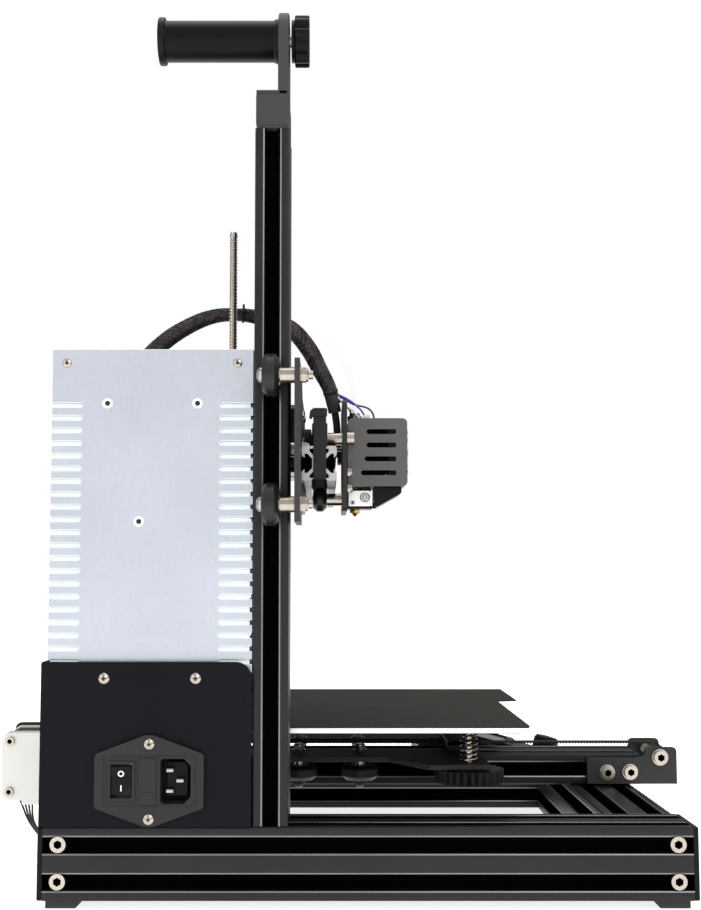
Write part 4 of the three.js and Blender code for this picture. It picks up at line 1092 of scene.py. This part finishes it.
def build_hot_end(x):
    sink = Piece("heatsink")
    for i in range(5):
        z = 242 + i * 5.4
        sink.box((x[0] + 7, x[1] - 7), (-12, 8.9), (z, z + 1.6), 0.3)
    sink.box((x[0] + 12, x[1] - 12), (-6, 8.8), (241.9, 266), 0.3)
    sink.rod((HEAD.x, HEAD.y, 265), (0, 0, 1), 4.6, 6)
    sink.done("x_carriage", DARK_STEEL, "bare_aluminium")
    heater = Piece("heater_block")
    block_y, block_z = (-4.6, 9.0), (225.6, 235.4)
    heater.prism("X", rounded(block_y, block_z, 0.5, 2), HEAD.x - 10, HEAD.x + 10, bevel=0.35,
                 holes=[ring(-1.2, 231.2, 3.1, 28)])
    heater.rod((HEAD.x, HEAD.y, 235), (0, 0, 1), 2.4, 8, 0.2)
    heater.done("x_carriage", ALUMINIUM, "bare_aluminium", ["hot_end"])
    cartridge = Piece("heater_cartridge")
    cartridge.rod((HEAD.x - 10.3, -1.2, 231.2), (1, 0, 0), 2.95, 20.6, 0.4)
    cartridge.rod((HEAD.x - 11.0, -1.2, 231.2), (1, 0, 0), 1.5, 3, 0.3)
    cartridge.cap_screw((HEAD.x - 10, 6.4, 227.8), (-1, 0, 0), 1.5, 0.9)
    cartridge.done("x_carriage", CUT_END, "steel")
    sock = Piece("heater_base")
    sock.box((HEAD.x - 9.4, HEAD.x + 10.4), (-6, 9.4), (223.9, 225.8), 0.5)
    sock.box((HEAD.x - 9.0, HEAD.x + 10.4), (8.8, 9.8), (223.9, 236.6), 0.3)
    sock.box((HEAD.x - 8.6, HEAD.x + 10.4), (-5.4, 9.4), (235.2, 236.8), 0.4)
    sock.done("x_carriage", PLASTIC, "plastic_black")
    nozzle = Piece("brass_nozzle")
    tip = span("nozzle")[0].z
    nozzle.lathe([(0, 0), (0.55, 0), (0.7, 0.15), (2.3, 1.9), (2.5, 2.1), (0, 2.1)], (HEAD.x, HEAD.y, tip),
                 segments=32)
    nozzle.polygon_rod((HEAD.x, HEAD.y, tip + 2), (0, 0, 1), 3.6, 2.3, sides=6, bevel=0.25)
    nozzle.done("x_carriage", BRASS, "brass", ["nozzle"])
    duct = Piece("part_cooling_duct")
    side = [(-6.8, 237.2), (-24, 237.2), (-24, 233.8), (-22.6, 232.6), (-10.2, 225.7), (-9, 225.2),
            (-6.8, 225.2)]
    for wall in ((HEAD.x - 15, HEAD.x - 13.4), (HEAD.x + 13.4, HEAD.x + 15)):
        duct.prism("X", side, *wall, bevel=0.3)
    skin = [(-24, 237.2), (-24, 233.8), (-22.6, 232.6), (-10.2, 225.7), (-9, 225.2), (-8.6, 226.4),
            (-9.8, 227), (-21.8, 233.8), (-22.6, 234.6), (-22.6, 237.2)]
    duct.prism("X", skin, HEAD.x - 14, HEAD.x + 14)
    duct.prism("X", [(-6.8, 237.2), (-8.2, 237.2), (-8.2, 228.5), (-6.8, 228.5)], HEAD.x - 14, HEAD.x + 14)
    duct.done("x_carriage", PLASTIC, "plastic_black", ["cooling_duct"])

    wires = (("red", [(-72, 16, 296), (-73, 11, 290), (-72.5, 6, 286), (-72, 3, 281), (-72, 2, 276)]),
             ("blue", [(-71, 16, 297), (-70, 8, 293), (-69.5, 1, 287), (-69, -2, 281.5), (-69, -2, 276)]),
             ("white", [(-73, 16, 295), (-74, 10, 289), (-74, 5.5, 285), (-74, 2, 281), (-74, 0, 276)]),
             ("brown", [(-70, 15, 296), (-68, 6, 291), (-68, -4, 288), (-68, -7, 284), (-68, -7.5, 276)]),
             ("black", [(-69, 16, 293), (-67.5, 11.5, 291.5), (-67, 8, 287), (-67, 6, 281), (-67, 5, 276)]))
    for colour, points in wires:
        wire = Piece(f"hot_end_wire_{colour}")
        wire.sweep(smooth_path(points, 22), 0.62, 8)
        wire.done("x_carriage", WIRE[colour], "plastic_black")
    crimp = Piece("wire_connector")
    crimp.box((-72.5, -67), (-4.5, -0.5), (280.2, 283.6), 0.4)
    crimp.done("x_carriage", WHITE, "bare_aluminium")


# ---------- bed ----------
POST_X, POST_FRONT, POST_REAR = 85, -64, 106


def build_bed():
    slot, front, rear = 25, POST_FRONT - 12, POST_REAR + 12
    half = POST_X + 11
    bridges = (((front, front + 20), slot + 4), ((50, 70), slot))
    table = Piece("bed_table")
    for side in (-1, 1):
        plan = [(slot + 4, front), (half - 4, front), (half, front + 4), (half, front + 37), (62, front + 60),
                (62, rear - 62), (half, rear - 39), (half, rear - 4), (half - 4, rear), (slot, rear),
                (slot, front + 28), (slot + 4, front + 28)]
        holes = [ring(side * POST_X, y, 3, 24) for y in (POST_FRONT, POST_REAR)]
        table.prism("Z", [(side * a, b) for a, b in plan], 66, 69, holes=holes, bevel=0.35)
        for y, inner in bridges:
            table.box(sorted((side * inner, side * (inner + 5))), y, (68.9, 75), 0.5)
    for y, inner in bridges:
        table.box((-inner - 5, inner + 5), y, (72, 75), 0.5)
    table.done("bed", FIBRE, "sheet_black", ["y_plate"])
    fixings = Piece("y_wheel_bolts")
    dark = Piece("y_wheel_nuts")
    for side in (-1, 1):
        for y in (40.7, 1.1):
            x = side * 30.5
            fixings.lathe([(2.45, 0), (4.6, 0), (4.6, 0.6), (2.45, 0.6)], (x, y, 69), (0, 0, 1), closed=True)
            fixings.nut((x, y, 69.6), (0, 0, 1), 4.2, 3.4, 2.4)
            fixings.rod((x, y, 45.6), (0, 0, 1), 2.4, 27.8)
            fixings.lathe([(2.45, 0), (4.0, 0), (4.0, 5.6), (2.45, 5.6)], (x, y, 60.3), (0, 0, 1),
                          closed=True)
            dark.nut((x, y, 50.2), (0, 0, -1), 4.2, 3.4, 2.4)
    fixings.done("bed", SCREWED, "steel")
    dark.done("bed", DARK_STEEL, "steel")
    for node, y in (("y_wheel_rear", 40.7), ("y_wheel_front", 1.1)):
        v_wheel(node, node, (-30.5, y, 55.3), (0, 0, 1))
        far = Piece(f"{node}_far_side")
        far.lathe([(2.8, -4.8), (9.2, -4.8), (9.7, -4.5), (12, -2.4), (12, 2.4), (9.7, 4.5), (9.2, 4.8),
                   (2.8, 4.8)], (30.5, y, 55.3), (0, 0, 1), 48, closed=True)
        far.done("bed", RUBBER, "rubber")
    clamps = Piece("belt_clamps")
    for y in (front + 10, 60):
        clamps.box((-9, 9), (y - 7, y + 7), (71.2, 72.2), 0.4)
    clamps.done("bed", SHEET_BLACK, "sheet_black")

    low, high = span("bed_plate")
    top = high.z
    plate = Piece("heated_plate")
    plate.prism("Z", rounded((low.x, high.x), (low.y, high.y), 2.5), 90.5, top, bevel=0.3)
    plate.done("bed", ALUMINIUM, "bare_aluminium", ["bed_plate"])
    under = Piece("bed_heater")
    under.prism("Z", rounded((low.x + 3, high.x - 3), (low.y + 3, high.y - 3), 4), 89.9, 90.6)
    under.done("bed", PLASTIC, "plastic_black")
    pad = Piece("magnetic_layer")
    pad.prism("Z", rounded((low.x + 0.6, high.x - 0.6), (low.y + 0.6, high.y - 0.6), 2.5), top - 0.05, 93.85)
    pad.done("bed", BELT, "rubber")
    screws, springs = Piece("levelling_screws"), Piece("levelling_springs")
    for x in (-POST_X, POST_X):
        for y in (POST_FRONT, POST_REAR):
            screws.rod((x, y, 56.6), (0, 0, 1), 2, 33.5)
            screws.nut((x, y, 57.8), (0, 0, -1), 3.4, 1.0, 1.9)
            turns, base, height, coil = 7, 69.8, 19.6, 4.6
            path = []
            for i in range(turns * 20 + 1):
                t = i / (turns * 20)
                path.append(Vector((x + coil * math.cos(2 * math.pi * turns * t),
                                    y + coil * math.sin(2 * math.pi * turns * t), base + height * t)))
            springs.sweep(path, 0.62, 8)
    screws.done("bed", SCREWED, "steel")
    springs.done("bed", SCREWED, "steel")

    edge, nose = 117.5, -110.5
    tab = [(edge - 1, nose), (edge, nose + 1), (edge, 137.5), (edge - 1, 138.5), (-edge + 1, 138.5),
           (-edge, 137.5), (-edge, -95.5), (-edge + 1, -96.5), (30, -96.5), (33.4, -109.6), (34.6, nose)]
    sheet = Piece("flexible_sheet")
    sheet.prism("Z", tab, 93.85, 94.75, bevel=0.15)
    sheet.done("bed", SURFACE, "build_surface", ["build_sheet"])

    for x in (-POST_X, POST_X):
        for y in (POST_FRONT, POST_REAR):
            node = f"thumbwheel_{'front' if y < 0 else 'rear'}_{'left' if x < 0 else 'right'}"
            wheel = Piece(f"{node}_knob")
            wheel.prism("Z", fluted(x, y, 21, 1.5, 26, 8), 57.7, 65.5, bevel=0.7, steps=2, limit=50,
                        holes=[ring(x, y, 2.4, 24)])
            wheel.lathe([(3, -0.02), (9, -0.02), (9, 0.5), (8.4, 0.9), (3, 0.9)], (x, y, 65.0), (0, 0, 1),
                        closed=True)
            wheel.done(node, PLASTIC, "plastic_black", [node])


# ---------- control box ----------
def build_controls():
    low, high = span("control_box")
    y0, y1, z0, z1, foot, wall = -176, -50, 30, 62, 6, 2.2
    shell = [(y0, foot), (y0, z0), (y1, z1), (y1, foot), (y1 - wall, foot), (y1 - wall, z1 - wall - 0.4),
             (y0 + wall, z0 - wall + 0.4), (y0 + wall, foot)]
    side = [(y0, foot), (y0, z0), (y1, z1), (y1, foot)]
    box = Piece("control_housing")
    box.prism("X", shell, low.x, high.x, bevel=0.9, steps=3)
    for x in ((low.x, low.x + wall), (high.x - wall, high.x)):
        box.prism("X", side, *x, bevel=0.8, steps=3)
    for i in range(6):
        box.box((low.x + 20 + i * 9, low.x + 25 + i * 9), (y1 - 0.6, y1 + 0.0), (16, 44), 0.2)
    box.done("frame", PLASTIC, "plastic_black", ["control_box"])
    board = Piece("control_board")
    board.box((low.x + 5, high.x - 5), (y0 + 8, y1 - 8), (14, 15.6), 0.1)
    board.done("frame", BOARD, "plastic_black")
    ports = Piece("card_and_usb_ports")
    ports.box((low.x + 14, low.x + 28), (y0 - 0.02, y0 + 4), (13, 18), 0.3)
    ports.box((low.x + 40, low.x + 66), (y0 - 0.02, y0 + 4), (14, 17), 0.3)
    ports.done("frame", DARK_STEEL, "steel")

    tilt = math.atan2(z1 - z0, y1 - y0)
    panel = Matrix.Translation((202.6, y0, z0)) @ Matrix.Rotation(tilt, 4, "X")
    bezel = Piece("display_bezel")
    bezel.prism("Z", rounded((-33, 33), (42, 122), 3), 0.3, 2.8,
                holes=[rounded((-29, 29), (50, 114), 1, 2)], bevel=0.4)
    bezel.moved(panel).done("frame", PLASTIC, "plastic_black", ["display"])
    window = Piece("display_window")
    window.prism("Z", rounded((-30, 30), (49, 115), 1, 2), 0.4, 1.8)
    window.moved(panel).done("frame", SCREEN, "screen")
    knob = Piece("rotary_knob")
    knob.prism("Z", fluted(-20, 24, 9.9, 0.5, 24, 6), 0.6, 13.6, bevel=0.4, limit=50)
    knob.lathe([(0, 0), (9, 0), (9, 0.9), (8.2, 1.9), (0, 2.3)], (-20, 24, 13.4), (0, 0, 1))
    knob.moved(panel).done("control_knob", PLASTIC, "plastic_black", ["control_knob"])
    mark = Piece("rotary_knob_mark")
    mark.box((-20.5, -19.5), (27, 31.4), (15.0, 15.6), 0.1)
    mark.moved(panel).done("control_knob", WHITE, "plastic_black")


# ---------- wiring loom and filament tube ----------
LOOM = [(-121, 148, 255), (-115, 146, 290), (-110, 124, 321), (-108, 106, 334), (-107, 91, 340),
        (-106, 75, 341), (-103, 60, 339), (-97, 45, 334), (-88, 34, 323), (-80, 27, 311), (-74, 21, 300),
        (-70, 18, 288)]
FEED = [(-31, 85, 291), (-31, 84, 305), (-33, 76, 325), (-40, 58, 342), (-49, 38, 343), (-57, 20, 330),
        (-62, 9, 312), (-64.5, 5.2, 296), (-65, 4.8, 284), (-65, 4.8, 269)]


def braided(path, radii, name):
    """A bundle of wires in a braided sleeve along a path: the core and the crossing filaments."""
    core = Piece(f"{name}_wires")
    core.sweep(path, [radius - 0.5 for radius in radii], 14)
    frames = frames_along(path)
    step = (path[1] - path[0]).length
    sleeve = Piece(f"{name}_sleeve")
    strands, pitch = 8, 26.0
    for way in (-1, 1):
        for k in range(strands):
            for twin in (-0.11, 0.11):
                line = []
                for i, (centre, side, other) in enumerate(frames):
                    t = way * 2 * math.pi * i * step / pitch + 2 * math.pi * k / strands + twin
                    weave = radii[i] - 0.3 + 0.12 * math.cos(strands * t)
                    line.append(centre + side * (weave * math.cos(t)) + other * (weave * math.sin(t)))
                sleeve.sweep(line, 0.3, 5)
    return core, sleeve


def build_cables():
    path = smooth_path(LOOM, 150)
    split = min(range(len(path)), key=lambda i: (path[i] - Vector(LOOM[5])).length)
    # The sleeve is drawn in by its ties and spreads between them.
    waves = 1.25 * split, len(path) - split
    radii = [4.0 + 1.5 * abs(math.sin(math.pi * (i - split) / waves[i > split])) for i in range(len(path))]
    parts = (("lower_loom", slice(0, split + 2), ("frame", "gantry"), LOOM[0], LOOM[5]),
             ("upper_loom", slice(split, len(path)), ("gantry", "x_carriage"), LOOM[6], LOOM[-2]))
    for name, run, bodies, start, end in parts:
        for piece, material in zip(braided(path[run], radii[run], name), (BRAID_CORE, BRAID)):
            made = piece.done(None, material, "loom")
            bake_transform(made)
    also_replaces("wire_loom")
    start, case = Vector(LOOM[0]), span("psu_case")[1].x
    gland = Piece("loom_gland")
    gland.box((case - 0.1, start.x + 6), (start.y - 7, start.y + 7), (start.z - 12, start.z + 2), 1.0)
    gland.rod((start.x, start.y, start.z + 1.5), (0, 0, 1), 5.4, 6, 0.8)
    gland.done("frame", PLASTIC, "plastic_black")
    frames = frames_along(path)
    ties = (("loom_tie", "gantry", split + 1), ("loom_tie_head", "x_carriage", len(path) - 8))
    for name, body, i in ties:
        centre, side, other = frames[i]
        tie = Piece(name)
        band = [centre + side * (4.25 * math.cos(t)) + other * (4.25 * math.sin(t))
                for t in (2 * math.pi * k / 28 for k in range(29))]
        tie.sweep(band, 0.75, 8)
        tie.polygon_rod(centre + side * 3.6, side, 2.3, 3.0, sides=4, bevel=0.3)
        tie.sweep([centre + side * 6 + other * r for r in (-1, 2, 4.5)], 0.7, 6)
        tie.done(body, PLASTIC, "plastic_black")
    boot = Piece("loom_boot")
    frames = smooth_path([(-75.5, 22.4, 303), (-72.5, 19.6, 294), (-70, 17.6, 286), (-69, 16.2, 276),
                          (-68.6, 15.9, 263)], 24)
    boot.sweep(frames[:12], 4.1, 16)
    boot.sweep(frames[10:], 2.3, 14)
    boot.done("x_carriage", FOOT_RUBBER, "plastic_black")
    tube = Piece("clear_feed_tube")
    tube.sweep(smooth_path(FEED, 90), 1.95, 20)
    made = tube.done(None, PTFE, "ptfe")
    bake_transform(made)
    also_replaces("filament_tube")
    fittings = Piece("feed_fitting")
    fittings.lathe([(2.1, 0), (4.4, 0), (4.4, 3), (3.4, 3.6), (3.4, 6), (2.1, 6)], (-31, 85, 292.3),
                   (0, 0, 1), closed=True)
    fittings.done("gantry", BRASS, "brass")
    fittings = Piece("hot_end_fitting")
    fittings.lathe([(2.1, 0), (4.6, 0), (4.6, 3), (3.4, 3.6), (3.4, 5), (2.1, 5)], (-65, 4.8, 280.2),
                   (0, 0, 1), closed=True)
    fittings.done("x_carriage", STEEL, "brass")


# ---------- studio ----------
CAMERA = {"place": (-0.9205, 0.0130, 0.1865), "pitch": 5.0, "lens": 51.43, "shift": 0.0269}


def build_studio():
    data = bpy.data.cameras.new("camera")
    data.sensor_width = 36
    data.lens = CAMERA["lens"]
    data.shift_x = CAMERA["shift"]
    camera = bpy.data.objects.new("camera", data)
    camera.location = CAMERA["place"]
    camera.rotation_euler = (math.radians(90 + CAMERA["pitch"]), 0, math.radians(-90))
    bpy.context.scene.collection.objects.link(camera)
    bpy.context.scene.camera = camera

    mesh = bpy.data.meshes.new("floor")
    size = 60
    mesh.from_pydata([(-size, -size, 0), (size, -size, 0), (size, size, 0), (-size, size, 0)], [],
                     [(0, 1, 2, 3)])
    floor = bpy.data.objects.new("floor", mesh)
    floor.location.z = -0.0002
    bpy.context.scene.collection.objects.link(floor)
    pale = finish("pale_floor", (0.93, 0.93, 0.93), 0.8, specular=0.1, grain=40, mottle=0.01, bump=0.0)
    pale.node_tree.nodes["Principled BSDF"].inputs["Emission Color"].default_value = (1, 1, 1, 1)
    pale.node_tree.nodes["Principled BSDF"].inputs["Emission Strength"].default_value = 0.8
    mesh.materials.append(pale)

    world = bpy.data.worlds.new("studio")
    world.use_nodes = True
    tree = world.node_tree
    soft = tree.nodes["Background"]
    soft.inputs["Color"].default_value = (1, 1, 1, 1)
    # The room is bright on the power supply's side of the machine and dim on the other.
    direction = tree.nodes.new("ShaderNodeTexCoord")
    split = tree.nodes.new("ShaderNodeSeparateXYZ")
    level = tree.nodes.new("ShaderNodeMapRange")
    for name, value in (("From Min", -1), ("From Max", 1), ("To Min", 0.8), ("To Max", 0.3)):
        level.inputs[name].default_value = value
    link(tree, direction.outputs["Generated"], split.inputs[0])
    link(tree, split.outputs["X"], level.inputs["Value"])
    link(tree, level.outputs[0], soft.inputs["Strength"])
    backdrop = tree.nodes.new("ShaderNodeBackground")
    backdrop.inputs["Color"].default_value = (1, 1, 1, 1)
    mix = tree.nodes.new("ShaderNodeMixShader")
    rays = tree.nodes.new("ShaderNodeLightPath")
    link(tree, rays.outputs["Is Camera Ray"], mix.inputs["Fac"])
    link(tree, soft.outputs[0], mix.inputs[1])
    link(tree, backdrop.outputs[0], mix.inputs[2])
    link(tree, mix.outputs[0], tree.nodes["World Output"].inputs["Surface"])
    bpy.context.scene.world = world
    lamps = (("key", (-1.6, -0.9, 1.5), 1.4, 16), ("fill", (-1.4, 1.6, 1.1), 1.6, 10),
             ("top", (0.2, 0.1, 2.3), 1.8, 22))
    for name, place, size, power in lamps:
        light = bpy.data.lights.new(name, "AREA")
        light.size = size
        light.energy = power
        lamp = bpy.data.objects.new(name, light)
        lamp.location = place
        lamp.rotation_euler = (Vector((0, 0, 0.2)) - Vector(place)).to_track_quat("-Z", "Y").to_euler()
        bpy.context.scene.collection.objects.link(lamp)
    bpy.context.scene.view_settings.view_transform = "Standard"


build_studio()
build_base()
build_y_axis()
build_upright()
build_power()
build_z_drive()
build_gantry()
build_carriage()
build_bed()
build_controls()
build_cables()
